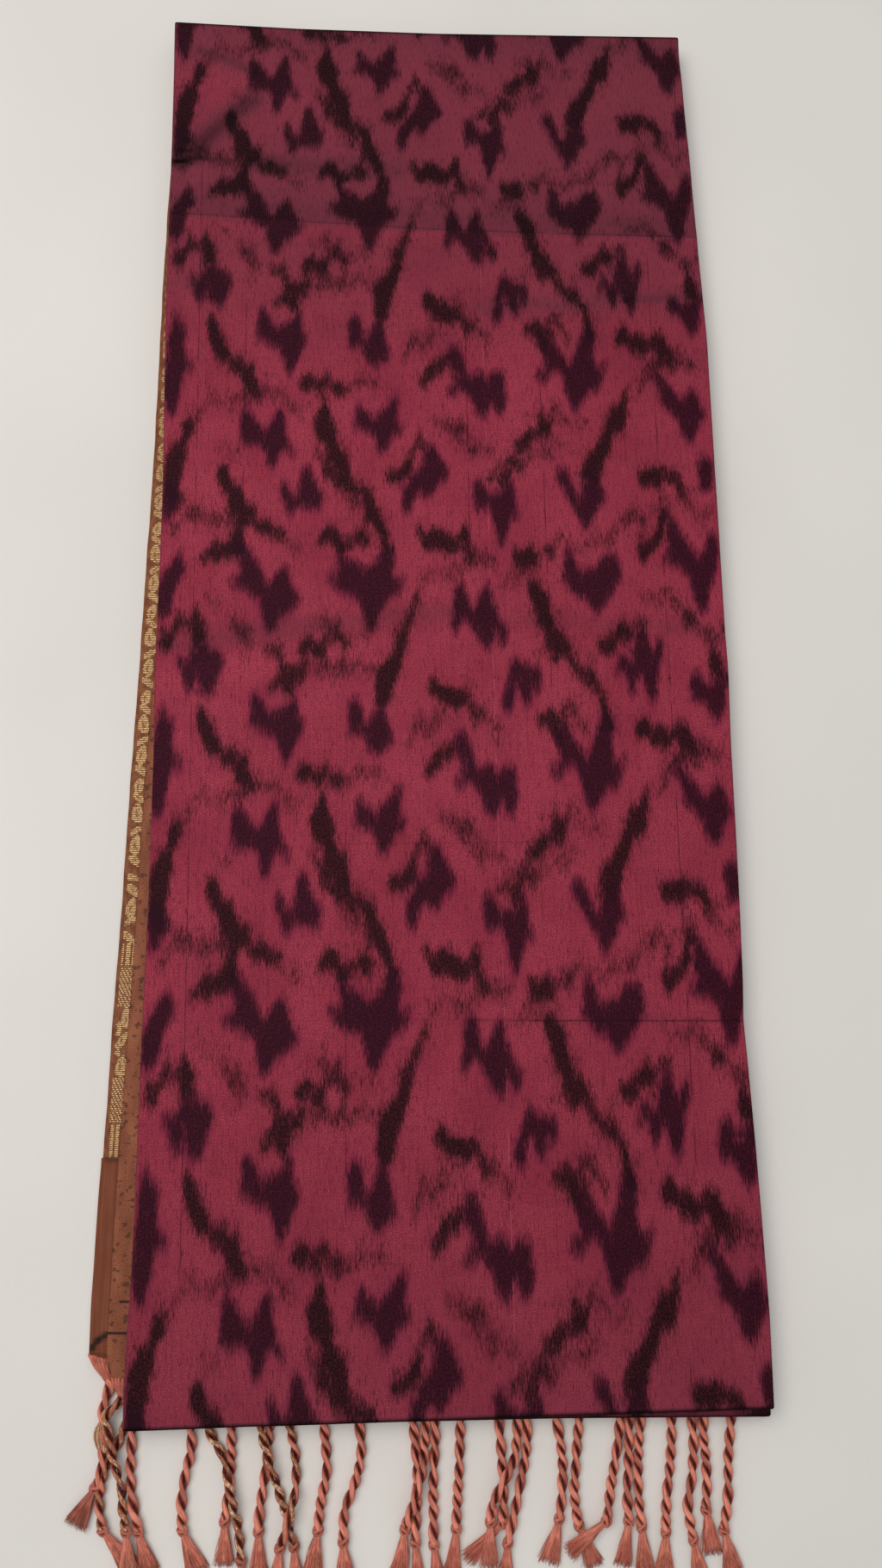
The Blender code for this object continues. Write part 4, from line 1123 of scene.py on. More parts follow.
def tissue(look):
    """Copper tissue: a fine shot weave with darker flecks where the crease dye took."""
    f = Finish("shot_tissue_weave", {"Specular IOR Level": 0.15, "Metallic": 0.12})
    place = f.cloth_uv()
    across, along, _ = f.apart(place)
    fine = f.noise(place, (0.36, 0.36, 0), 2.0, 0.7)
    fleck = f.noise(place, (0.6, 0.55, 0), 3.0, 0.7)
    patch = f.noise(place, (3.2, 3.0, 0))
    cloud = f.noise(place, (9.0, 22.0, 0))
    colour = f.mix(look.copper, look.copper_bright, (fine * 0.7 + cloud * 0.3).smooth(0.40, 0.62))
    dark = patch.smooth(0.50, 0.66) * 0.75 + f.number("spots")
    colour = f.mix(colour, look.brown_deep, (dark + (fleck - 0.5) * 1.6).smooth(0.32, 0.8) * 0.8)
    for y, start, stop in WEFT_LINES:
        line = (along - y * MM - fine * 0.0004 + across * 0.03).size().smooth(0.0008, 0.0004)
        line = kept_between(line, across, start * MM, stop * MM, WEFT_LINE_FADE * MM)
        colour = f.mix(colour, look.ink, line * 0.9)
    # Painted shade along the rolled left edge
    colour = f.mix(colour, look.brown_deep, across.smooth(0.0005, 0.0) * 0.7)
    colour = f.toned(colour, f.number("tone"))
    return f.surface(colour, 0.46 + fine * 0.14, fine + fleck * 0.4, 0.10)


def satin_band(look):
    """The pallu's plain end: a soft brown satin with faint warp streaks."""
    f = Finish("satin_weave", {"Specular IOR Level": 0.15})
    place = f.cloth_uv()
    streak = f.noise(place, (1.1, 60.0, 0))
    cloud = f.noise(place, (6.0, 18.0, 0))
    fine = f.noise(place, (0.3, 0.5, 0))
    colour = f.mix(look.satin, look.satin_light, (streak * 0.6 + cloud * 0.4).smooth(0.40, 0.64))
    colour = f.mix(colour, look.brown_deep, fine.smooth(0.5, 0.8) * 0.3)
    colour = f.toned(colour, f.number("tone"))
    return f.surface(colour, 0.52 + fine * 0.12, fine * 0.6 + streak * 0.3, 0.08)


def fringe_yarn(look):
    """Twisted rust silk. A point's gold number is 0 for none, 1 for streaks and 2 for gold thread alone."""
    f = Finish("fringe_yarn", {"Specular IOR Level": 0.2})
    place = f.cloth_uv()
    fibre = f.noise(place, (0.055, 3.2, 0), 3.0, 0.6)
    lock = f.noise(place, (0.36, 14.0, 0))
    thread = f.noise(place, (0.13, 2.2, 0))
    cloud = f.noise(f.place(), (4.0, 4.0, 4.0), 2.0)
    gold = f.number("gold")
    silk = f.mix(look.rust, look.rust_light, (fibre * 0.5 + cloud * 0.2 + lock * 0.3).smooth(0.38, 0.62))
    bright = thread * 0.75 + fibre * 0.25 + (gold - 1.0) * 0.12
    metal = f.mix(look.fringe_gold_deep, look.fringe_gold, bright.smooth(0.49, 0.58))
    colour = f.mix(silk, metal, (gold + (lock - 0.5) * 0.5).smooth(0.35, 0.62))
    # dark: the deep number, which is painted shade and darker yarn, and darker locks at random
    dark = f.number("deep") * 0.94 + lock.smooth(0.50, 0.30) * 0.34
    colour = f.mix(colour, look.rust_deep, dark)
    return f.surface(colour, 0.48 + fibre * 0.14, fibre + lock * 0.8, 0.16)


def pale_floor(look):
    """A matt off-white floor, barely clouded."""
    f = Finish("pale_floor", {"Specular IOR Level": 0.25})
    spot = f.place()
    pores = f.noise(spot, (2.6, 2.6, 2.6), 3.0)
    cloud = f.noise(spot, (160.0, 160.0, 160.0))
    colour = f.mix(look.floor, [0.93 * part for part in look.floor], cloud.smooth(0.3, 0.7) * 0.6)
    return f.surface(colour, 0.62 + pores * 0.1, pores, 0.12)


# Sizes and colours that a user may change

def size(name, description, default, low=0.0):
    """A length in metres, given in millimetres."""
    return FloatProperty(
        name=name, description=description, default=default * MM, min=low * MM, unit="LENGTH", precision=5
    )


def paint(name, description, default):
    return FloatVectorProperty(
        name=name, description=description, default=default, size=3, min=0.0, max=1.0, subtype="COLOR"
    )


class IkatLook(bpy.types.PropertyGroup):
    """The silk body's weave and dyes."""

    yarn: size("Yarn group", "Width of the yarns that slip together", 0.62, 0.1)
    feather: size("Feather", "Length of the feathered ends of a motif", 9.0, 1.0)
    relief: size("Weave relief", "Height of the weave's bump", 0.07)
    step_across: size("Step across", "Width of the top fold's mesh cells", 1.6, 0.5)
    step_along: size("Step along", "Length of the top fold's mesh cells", 2.4, 0.5)
    roll: size("Fold roll", "How far from its edge a fold rolls over", 1.0, 0.2)
    ground: paint("Ground", "The silk's wine red", (0.290, 0.027, 0.052))
    ground_bright: paint("Ground, bright", "Where the weft shows", (0.46, 0.078, 0.118))
    ground_deep: paint("Ground, deep", "Where the yarns are closest", (0.19, 0.014, 0.030))
    ground_cool: paint("Ground, cool", "Where a fold lies in shade", (0.290, 0.055, 0.088))
    bleed: paint("Bleed", "Where the blossoms' dye tints the ground", (0.215, 0.019, 0.050))
    blossom: paint("Blossom", "The blossoms' violet black", (0.0235, 0.0030, 0.0095))
    spray: paint("Spray", "The sprays' green black", (0.0125, 0.0032, 0.0048))


class PalluLook(bpy.types.PropertyGroup):
    """The pallu's brocade, tissue and end band."""

    strip: size("Shown strip", "Width of the finely woven strip at the left", 27.0, 5.0)
    strip_step: size("Strip step", "Width of the strip's mesh cells", 0.85, 0.3)
    brocade_step: size("Brocade step", "Length of the brocade's mesh cells", 0.85, 0.3)
    tissue_step: size("Tissue step", "Length of the tissue's mesh cells", 2.0, 0.5)
    dash_pitch: size("Dash pitch", "Distance between two rows of gold dashes", 0.98, 0.3)
    dash_length: size("Dash length", "Length of a gold dash in the open figures", 1.7, 0.3)
    brown: paint("Brown", "The brocade's ground", (0.168, 0.047, 0.018))
    brown_light: paint("Brown, light", "Where the ground catches light", (0.255, 0.086, 0.033))
    # Brown, deep also paints the shade along the tissue's rolled left edge
    brown_deep: paint("Brown, deep", "Flecks and creases", (0.055, 0.020, 0.010))
    gold: paint("Gold", "The brocade's thread", (0.68, 0.45, 0.22))
    gold_deep: paint("Gold, deep", "The thread's shaded turns", (0.39, 0.205, 0.082))
    copper: paint("Copper", "The tissue's ground", (0.150, 0.039, 0.018))
    copper_bright: paint("Copper, bright", "The tissue's shot threads", (0.37, 0.125, 0.060))
    satin: paint("Satin", "The end band's brown", (0.172, 0.043, 0.018))
    satin_light: paint("Satin, light", "The end band's streaks", (0.225, 0.065, 0.030))
    ink: paint("Dark weft", "The two dark weft lines in the tissue", (0.016, 0.008, 0.008))


class TasselLook(bpy.types.PropertyGroup):
    """The knotted fringe."""

    half_turn: size("Half turn", "Length of half a turn of the two plies", 7.6, 2.0)
    ply_radius: size("Ply radius", "Radius of each of the two plies", 1.32, 0.2)
    ply_offset: size("Ply offset", "How far a ply lies from the cord's middle", 1.12, 0.1)
    strand_radius: size("Strand radius", "Radius of a strand of the skirt", 0.21, 0.05)
    strands: IntProperty(name="Strands", description="Strands in each skirt", default=96, min=12, max=200)
    rust: paint("Rust", "The fringe silk", (0.57, 0.148, 0.098))
    rust_light: paint("Rust, light", "The silk's lit fibres", (1.0, 0.345, 0.238))
    # Rust, deep paints the shade between the plies, in the knots and among the lower strands, and the darker
    # yarn
    rust_deep: paint("Rust, deep", "Between the plies", (0.085, 0.006, 0.005))
    fringe_gold: paint("Gold", "Gold thread in the fringe", (1.0, 0.72, 0.43))
    fringe_gold_deep: paint("Gold, deep", "The gold thread's shaded turns", (0.40, 0.125, 0.060))


class StageLook(bpy.types.PropertyGroup):
    """The floor and the soft light."""

    floor: paint("Floor", "The floor's off-white", (0.80, 0.765, 0.72))
    sky: paint("Fill light", "The light from all round", (0.95, 0.97, 1.0))
    fill: FloatProperty(
        name="Fill strength", description="Strength of the light from all round", default=0.42)
    key: FloatProperty(
        name="Key power", description="Power of the large soft light", default=22.5, unit="POWER")
    key_size: FloatProperty(
        name="Key size", description="Side of the large soft light", default=1.5, unit="LENGTH")
    reach: FloatProperty(name="Floor side", description="Side of the floor", default=6.0, unit="LENGTH")


# The pieces

def ikat_material():
    """The ikat's material, made when the first fold needs it."""
    found = bpy.data.materials.get("warp_ikat")
    return found or ikat_silk("warp_ikat", bpy.context.scene.saree_ikat)


def flat_size(node):
    """A solid's width and length, in metres."""
    low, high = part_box(node)
    return high.x - low.x, high.y - low.y


def ikat_shell(node, cells, corner, height=None):
    """The skin of a fold of ikat, with so many cells across and along."""
    roll = bpy.context.scene.saree_ikat.roll
    shares = [places_across(np.linspace(0, 1, count)[1:-1], size, roll)
              for count, size in zip(cells, flat_size(node))]
    return fold_shell(node, *shares, roll / MM, corner, height)


class SAREE_OT_top_fold(bpy.types.Operator):
    """The uppermost fold of the ikat body, with its creases and its woven design"""

    bl_idname = "saree.top_fold"
    bl_label = "Top fold"

    def execute(self, context):
        look = context.scene.saree_ikat
        width, length = flat_size("body_top_leaf")
        cells = round(width / look.step_across), round(length / look.step_along)
        height = TopHeight(Outline(Solid("body_top_leaf")).far)
        points, faces, _, edges = ikat_shell("body_top_leaf", cells, 1.0, height)
        # The ground's painted light and shade, with the painted shade of the rolled edges
        tone = painted_ground_shading(points[:, 0], points[:, 1]) * edges
        numbers = ikat_numbers(IkatChart(), points, tone)
        thing = add_mesh("ikat_top_fold", corner_drawn(points, points[:, 0].min()), faces, numbers)
        hand_over(thing, ikat_material(), "ikat_silk", "body_top_leaf")
        return {"FINISHED"}


class SAREE_OT_second_fold(bpy.types.Operator):
    """The fold below the top one, which shows past its near edge"""

    bl_idname = "saree.second_fold"
    bl_label = "Second fold"

    def execute(self, context):
        points, faces, _, edges = ikat_shell("body_second_leaf", SECOND_FOLD_CELLS, 1.4)
        # Painted shade: the rolled edges darker, and the whole fold darker than the top one, as it lies
        # beneath it
        numbers = ikat_numbers(IkatChart(), points, 0.86 * edges, slide=REPEAT / 2)
        thing = add_mesh("ikat_second_fold", points, faces, numbers)
        hand_over(thing, ikat_material(), "ikat_silk_inner", "body_second_leaf")
        return {"FINISHED"}


def perimeter(outline):
    """Points round the body, anticlockwise, with cut corners."""
    cut = PERIMETER_CUT
    left, right = outline.solid.low[0] + cut, outline.solid.high[0] - cut
    near, far = outline.solid.low[1] + cut, outline.solid.high[1] - cut
    across = np.arange(left, right, PERIMETER_STEP)
    along = np.arange(near, far, PERIMETER_STEP)
    loop = [(x, near - cut) for x in across]
    loop += [(right + cut, y) for y in along]
    loop += [(x, far + cut) for x in across[::-1]]
    loop += [(left - cut, y) for y in along[::-1]]
    return np.array(loop)


class SAREE_OT_hidden_folds(bpy.types.Operator):
    """The hidden folds of the body, as many folded edges one above another"""

    bl_idname = "saree.hidden_folds"
    bl_label = "Hidden folds"

    def execute(self, context):
        outline = Outline(Solid("body_top_leaf"))
        core = Solid("body_folded_core")
        loop = perimeter(outline)
        x_rest, y_rest = outline.inside(loop[:, 0], loop[:, 1], REST_INSET)
        low = np.array([core.underside(x, y) or core.low[2] for x, y in zip(x_rest, y_rest)])
        plies = len(HIDDEN_FOLDS) * PLIES_EACH
        chart = IkatChart()
        rings, numbers = [], []
        for ply in range(plies):
            near, far, left, right = HIDDEN_FOLDS[ply // PLIES_EACH]
            waver = PLY_WAVER * ripple(loop[:, 0], loop[:, 1], 2.0 + ply)
            for level, depth in PLY_PROFILE:
                groove = depth * PLY_GROOVE + PLY_STEP * (ply % PLIES_EACH) + waver
                x = np.clip(loop[:, 0], outline.left(loop[:, 1]) + left + groove,
                            outline.right(loop[:, 1]) - right - groove)
                y = np.clip(loop[:, 1], outline.near(x) + near + groove, outline.far(x) - far - groove)
                rings.append(np.stack((x, y, between(low, core.high[2], (ply + level) / plies)), axis=-1))
                # Painted shade: each ply darker where its edge is grooved in, lighter at its middle, and all
                # darker than the top fold
                tone = np.full(len(x), 0.9 - 0.3 * depth)
                numbers.append(ikat_numbers(chart, rings[-1], tone, PLY_SLIDE * ply))
        index = np.arange(len(rings) * len(loop)).reshape(len(rings), len(loop))
        faces = [face for below, above in zip(index, index[1:]) for face in ring_faces(above, below)]
        faces += [index[0, ::-1].tolist(), index[-1].tolist()]
        points = np.concatenate(rings)
        numbers = {key: np.concatenate([ring[key] for ring in numbers]) for key in numbers[0]}
        thing = add_mesh("ikat_hidden_folds", points, faces, numbers)
        hand_over(thing, ikat_material(), "ikat_silk_inner", "body_folded_core")
        return {"FINISHED"}


PALLU_ROLL = 0.5
PALLU_CORNER = 0.6
COARSE_COLUMNS = 14


def pallu_piece(name, node, step, material, slot, numbers_of, waver, reach=0.0):
    """A stretch of the pallu, with small cells where it shows at the left.

    Its far end reaches so far into the stretch that it is woven on to.
    """
    look = bpy.context.scene.saree_pallu
    width, length = flat_size(node)
    roll = PALLU_ROLL * MM
    fine = np.arange(look.strip_step, look.strip, look.strip_step) / width
    coarse = np.linspace(look.strip / width, 1.0, COARSE_COLUMNS)[:-1]
    across = places_across(np.concatenate((fine, coarse)), width, roll)
    along = places_across(np.linspace(0, 1, round(length / step))[1:-1], length, roll)
    points, faces, from_left, _ = fold_shell(node, across, along, PALLU_ROLL, PALLU_CORNER)
    points[:, 1] += reach * eased((points[:, 1] - points[:, 1].max() + 2.0) / 2.0)
    uv = np.stack((from_left, points[:, 1]), axis=-1) * MM
    numbers = numbers_of(from_left, points[:, 0], points[:, 1])
    edge = eased(1.0 - from_left / 12.0)
    points[:, 0] += waver * edge * ripple(points[:, 1] * 2.3, points[:, 1] * 1.7, 5.0)
    thing = add_mesh(name, points, faces, numbers, uv)
    hand_over(thing, material, slot, node)


def within(value, start, stop, soft=0.5):
    """1 from start to stop and 0 outside, with edges as wide as soft."""
    return eased((value - start) / soft + 0.5) * eased((stop - value) / soft + 0.5)


def leaf_fill(across, along, table, start):
    """How much gold fills the figures of a table at places on the border."""
    fill = np.zeros_like(across)
    for y, u, half_length, half_width, turn in table:
        angle = radians(turn)
        du, dv = across - u, along - (y + start)
        a = (du * cos(angle) + dv * sin(angle)) / half_length
        b = (-du * sin(angle) + dv * cos(angle) + 0.5 * a * a) / half_width
        pointed = np.sqrt(np.clip(1.0 - a * a, 0, 1)) * (1.0 - 0.25 * a)
        shape = eased(0.5 + (pointed - np.abs(b)) * half_width / 0.7)
        vein = eased(1.2 - np.abs(b - 0.1) * 2.4) * eased(1.1 - np.abs(a + 0.1))
        fill = np.maximum(fill, shape * (1.0 - 0.6 * vein))
    return fill


def zari_fill(across, along):
    """Where the brocade's gold lies, and where its dashes stand apart."""
    fill = leaf_fill(across, along, LEAVES, 0.0)
    for k in range(int((PALLU_FAR - FIGURES_FROM) / FIGURE_REPEAT) + 1):
        fill = np.maximum(fill, leaf_fill(across, along, FIGURES, FIGURES_FROM + k * FIGURE_REPEAT))
    apart = np.zeros_like(across)
    for start, stop in HATCHES:
        hatch = within(along, start, stop)
        fill = np.maximum(fill, hatch)
        apart = np.maximum(apart, hatch)
    for start, stop, *columns in LADDERS:
        rungs = sum(within(across, middle - half, middle + half, 0.3) for middle, half in columns)
        fill = np.maximum(fill, rungs * within(along, start, stop))
    return fill * within(across, FIELD_FROM, FIELD_TO), apart


def brocade_numbers(from_left, x, y):
    """The brocade's figures, and its tone: painted shade at the rolled edge and along the woven groove, and a
    little lighter towards the far end.
    """
    tone = 1.0 - 0.2 * eased(1.0 - from_left / 1.0) - 0.2 * eased(1.0 - np.abs(from_left - 8.6) / 0.7)
    tone = tone + 0.08 * eased((y - 200) / 200.0) - painted_fold_shade(from_left, y)
    zari, apart = zari_fill(from_left, y)
    return {"zari": zari, "open": apart, "tone": tone}


# Rows of dark spots in the tissue: how far along the pallu, and how dense
SPOT_ROWS = ((45, 0.7), (54, 0.8), (65, 0.8), (72, 0.9), (90, 0.7), (106, 1.1), (126, 1),
             (144, 0.5), (165, 0.6), (180, 0.8), (198, 0.8), (214, 0.6), (233, 0.6), (262, 0.7))


def tissue_numbers(from_left, x, y):
    """Up to three dark spots in each row, beside the top fold's edge."""
    spots = np.zeros_like(x)
    for row, density in SPOT_ROWS:
        for u, wide in ((9.6, 1.1), (10.9 + 0.5 * sin(row), 1.4), (14.6 + 0.6 * sin(row * 2.1), 1.3)):
            away = ((from_left - u) / wide) ** 2 + ((y - row - 0.5 * sin(u * 3.0)) / 1.3) ** 2
            spots = np.maximum(spots, density * np.exp(-0.8 * away))
    # The tone is painted shade along the rolled left edge
    return {"tone": 1.0 - 0.25 * eased(1.0 - from_left / 0.8), "spots": spots}


def painted_fold_shade(from_left, y):
    """The painted shade of a small fold: a dark spot where the brocade ends and the plain band begins."""
    return 0.5 * np.exp(-((y - 113.4) / 1.5) ** 2) * within(from_left, 1.5, 8.0, 2.0)


# The end band's pulled corner: the arc of its fold, where shade is painted dark, and the straight edge that
# ends it
CORNER_ARC = (-155.0, 27.5, 9.2)
CORNER_EDGE = 28.6
CORNER_EDGE_RIGHT = -154.0


def band_numbers(from_left, x, y):
    """The end band's tone: painted shade in the pulled corner's fold, along its flap's edge, at the small
    fold's spot and along the rolled left edge, and a darker line at its seam.
    """
    x_arc, y_arc, radius = CORNER_ARC
    arc = np.abs(np.hypot(x - x_arc, y - y_arc) - radius + 0.25 * np.sin(2.1 * y))
    fold = eased(1.3 - arc / 1.8) * eased((y - CORNER_EDGE) / 2.4) * eased((CORNER_EDGE_RIGHT - x) / 3.0)
    flap = eased(1.0 - np.abs(y - CORNER_EDGE + 0.12 * (x + 160.0)) / 1.2)
    flap = flap * eased((CORNER_EDGE_RIGHT + 1.0 - x) / 3.0)
    seam = 0.12 * eased(1.0 - np.abs(from_left - 4.4) / 0.6)
    dark = 0.86 * fold + 0.3 * flap * (1.0 - fold) + seam + painted_fold_shade(from_left, y)
    # Painted shade along the rolled left edge
    dark = dark + 0.2 * eased(1.0 - from_left / 0.8)
    return {"tone": 1.0 - dark}


class SAREE_OT_pallu(bpy.types.Operator):
    """The pallu's brocaded border, its copper tissue and its plain end band"""

    bl_idname = "saree.pallu"
    bl_label = "Pallu"

    def execute(self, context):
        look = context.scene.saree_pallu
        pallu_piece("brocade_strip", "pallu_border_leaf", look.brocade_step, brocade(look),
                    "zari_brocade", brocade_numbers, 0.25)
        pallu_piece("copper_tissue_strip", "pallu_tissue_leaf", look.tissue_step, tissue(look),
                    "copper_tissue", tissue_numbers, 0.12)
        pallu_piece("plain_end_band", "pallu_end_band", look.brocade_step, satin_band(look),
                    "brown_satin", band_numbers, 0.10, reach=0.9)
        return {"FINISHED"}


# Tassels

class Pile:
    """Tubes gathered into one mesh, with the numbers and UVs at their points."""

    def __init__(self):
        self.points, self.faces, self.uv, self.deep, self.gold = [], [], [], [], []
        self.count = 0

    def tube(self, path, aside, above, radius, sides, deep, gold, v_start=0.0):
        """A closed tube round a path. aside and above span its rings."""
        steps = len(path)
        aside, above = (np.broadcast_to(way, path.shape) for way in (aside, above))
        radius = np.broadcast_to(radius, steps)[:, None, None]
        self.points.append((path[:, None, :] + radius * spokes(sides, aside, above)).reshape(-1, 3))
        index = self.count + np.arange(steps * sides).reshape(steps, sides)
        turned = np.roll(index, -1, axis=1)
        quads = np.stack((index[:-1], turned[:-1], turned[1:], index[1:]), axis=-1).reshape(-1, 4)
        self.faces += quads.tolist() + [index[0, ::-1].tolist(), index[-1].tolist()]
        around = np.abs(2.0 * np.arange(sides) / sides - 1.0) * UV_ROUND + v_start
        places = np.broadcast_arrays(around[None, :], (walked_along(path) + v_start)[:, None])
        self.uv.append(np.stack(places, axis=-1).reshape(-1, 2) * MM)
        for numbers, value in ((self.deep, deep), (self.gold, gold)):
            numbers.append(np.broadcast_to(value, (steps, sides)).reshape(-1))
        self.count += steps * sides

    def finish(self, name):
        """The mesh object of all the tubes."""
        numbers = {"deep": np.concatenate(self.deep), "gold": np.concatenate(self.gold)}
        return add_mesh(name, np.concatenate(self.points), self.faces, numbers, np.concatenate(self.uv))


def walked_along(path):
    """How far along a path each of its points lies."""
    return np.concatenate(([0.0], np.cumsum(np.linalg.norm(np.diff(path, axis=0), axis=1))))


def spokes(sides, asides, aboves):
    """Directions from each point of a path to the corners of its ring."""
    angles = 2 * pi * np.arange(sides) / sides
    return (np.cos(angles)[None, :, None] * asides[:, None, :]
            + np.sin(angles)[None, :, None] * aboves[:, None, :])


def unit(vectors):
    """The vectors at length 1."""
    return vectors / np.maximum(np.linalg.norm(vectors, axis=-1, keepdims=True), 1e-9)


def ribs(path):
    """Two directions across a path at each of its points, carried along it without twist."""
    ahead = unit(np.gradient(path, axis=0))
    above = UP
    asides, aboves = [], []
    for way in ahead:
        above = above - way * np.dot(above, way)
        above = above / np.linalg.norm(above)
        asides.append(np.cross(way, above))
        aboves.append(above)
    return np.array(asides), np.array(aboves)


def smooth_route(points, step):
    """Points about a step apart on a smooth curve through the given ones."""
    points = np.array(points, float)
    ends = np.vstack((2 * points[0] - points[1], points, 2 * points[-1] - points[-2]))
    dense = []
    t = np.linspace(0, 1, CURVE_STEPS, endpoint=False)[:, None]
    for a, b, c, d in zip(ends, ends[1:], ends[2:], ends[3:]):
        dense.append(0.5 * (2 * b + (c - a) * t + (2 * a - 5 * b + 4 * c - d) * t ** 2
                            + (3 * b - a - 3 * c + d) * t ** 3))
    dense = np.vstack((*dense, points[-1:]))
    walked = walked_along(dense)
    places = np.linspace(0, walked[-1], max(3, round(walked[-1] / step)))
    return np.stack([np.interp(places, walked, dense[:, axis]) for axis in range(dense.shape[1])], axis=-1)


class Tassel:
    """One tassel: its cord's two plies, its knot and its skirt of strands."""

    def __init__(self, number, pallu_end, look):
        self.number = number
        self.row = dict(zip(TASSEL_COLUMNS, TASSELS[number]))
        self.row.update(zip(LIFT_COLUMNS, LIFTS.get(number, FLAT)))
        self.pallu_end = pallu_end
        self.look = look
        self.gold_ply, self.gold_skirt = GOLD_IN_TASSELS.get(number, (0.0, 0.02))
        self.chance = np.random.default_rng(700 + number)
        self.pile = Pile()

    def route(self):
        """Points along the cord's middle, from the pallu's end to the knot."""
        row = self.row
        points = [(row["root_x"], self.pallu_end(row["root_x"]) - ROOT_GAP)]
        points += TASSEL_BENDS.get(self.number, ())
        for quarter in range(4):
            points.append((row[f"x_{quarter + 1}"], between(LEAVE_Y, row["knot_y"], quarter / 4)))
        points.append((row["knot_x"], row["knot_y"]))
        plan = smooth_route(points, CORD_STEP)
        y = plan[:, 1]
        lift = row["over_z"] * eased((row["over_half"] + LIFT_RAMP - np.abs(y - row["over_y"])) / LIFT_RAMP)
        risen = eased(1.0 - (y - row["knot_y"]) / KNOT_RISE_LENGTH)
        rise = between(CORD_LIFT, KNOT_LIFT + row["knot_up"], risen)
        return np.column_stack((plan, np.maximum(CORD_LIFT + lift, rise)))

    def cord(self, path):
        """Two plies wound round each other, a little unevenly."""
        asides, aboves = ribs(path)
        walked = np.linspace(0, 1, len(path)) * CORD_STEP * len(path)
        ply_radius = self.look.ply_radius / MM
        half_turn = self.look.half_turn / MM * self.chance.uniform(0.88, 1.14)
        phase = self.chance.uniform(0, 2 * pi)
        uneven = 0.5 * np.sin(walked / 9.0 + phase) + 0.3 * np.sin(walked / 4.1 + 2 * phase)
        angle = phase + pi * walked / half_turn + uneven
        swell = 1.0 + 0.07 * np.sin(walked / 3.3 + phase) + 0.05 * np.sin(walked / 7.7)
        knot_end = eased((walked[-1] - walked) / 2.5)
        for ply, turn in enumerate((0.0, pi)):
            out = np.cos(angle + turn)[:, None] * asides + np.sin(angle + turn)[:, None] * aboves
            middle = path + out * (self.look.ply_offset / MM) * (0.4 + 0.6 * knot_end)[:, None]
            middle[:, 2] = np.maximum(middle[:, 2], FLOOR_CLEARANCE + ply_radius)
            radius = ply_radius * swell * (1.0 - 0.08 * ply)
            ply_asides, ply_aboves = ribs(middle)
            # Painted shade: each ply darker on the side that faces the other, in the crevice between them
            facing = (spokes(PLY_SIDES, ply_asides, ply_aboves) * out[:, None, :]).sum(-1)
            # The second ply is darker, partly as darker yarn and partly as painted shade; in a gold cord this
            # moves towards the first ply
            shade = 0.25 + 0.16 * np.sin(walked / 5.3 + 2.0 * phase + ply)
            shade = shade * (1.0 - self.gold_ply if ply else 0.7 * self.gold_ply)
            deep = np.clip(eased(0.64 - 0.95 * facing) + shade[:, None], 0, 1)
            gold = self.gold_ply * (1.0 if ply else FIRST_PLY_GOLD)
            radius = radius * (1.0 - GOLD_THINNER * self.gold_ply)
            self.pile.tube(middle, ply_asides, ply_aboves, radius, PLY_SIDES, deep, gold, 11.0 * ply)

    def knot(self):
        """A small overhand knot: a ring of the cord, with a turn laid over it."""
        row = self.row
        tip = unit(np.array((row["tip_dx"], row["tip_dy"], 0.0)))
        side = np.array((tip[1], -tip[0], 0.0)) * self.chance.choice((-1.0, 1.0))
        centre = np.array((row["knot_x"], row["knot_y"], KNOT_LIFT + row["knot_up"])) + tip * 0.4
        wide, long, tall = KNOT_RING
        t = 2 * pi * np.arange(KNOT_POINTS + 1) / KNOT_POINTS
        ring = (centre + np.outer(wide * np.sin(t), side) + np.outer(long * np.cos(t), tip)
                + np.outer(tall * np.sin(t + 0.7), UP))
        self.turn(ring, centre, KNOT_TUBE)
        t = np.linspace(-OVER_TURN, OVER_TURN, OVER_POINTS)
        over = (centre + np.outer(1.2 * wide * np.sin(t), side) + np.outer(1.1 * np.sin(t) - 0.1, tip)
                + np.outer(1.45 * np.cos(t) - 0.25, UP))
        self.turn(over, centre - 1.5 * UP, KNOT_TUBE * 0.8)
        return centre, tip, side

    def turn(self, path, centre, radius):
        """A turn of the knot, darker all over, with painted shade where it faces its middle and underneath.
        """
        asides, aboves = ribs(path)
        outward = spokes(KNOT_SIDES, asides, aboves)
        inward = (outward * unit(centre - path)[:, None, :]).sum(-1)
        deep = np.clip(0.34 + eased(0.3 + 0.75 * inward) + 0.6 * eased(0.3 - outward[..., 2]), 0, 1)
        self.pile.tube(path, asides, aboves, radius, KNOT_SIDES, deep, self.gold_ply * 0.5, 5.0)

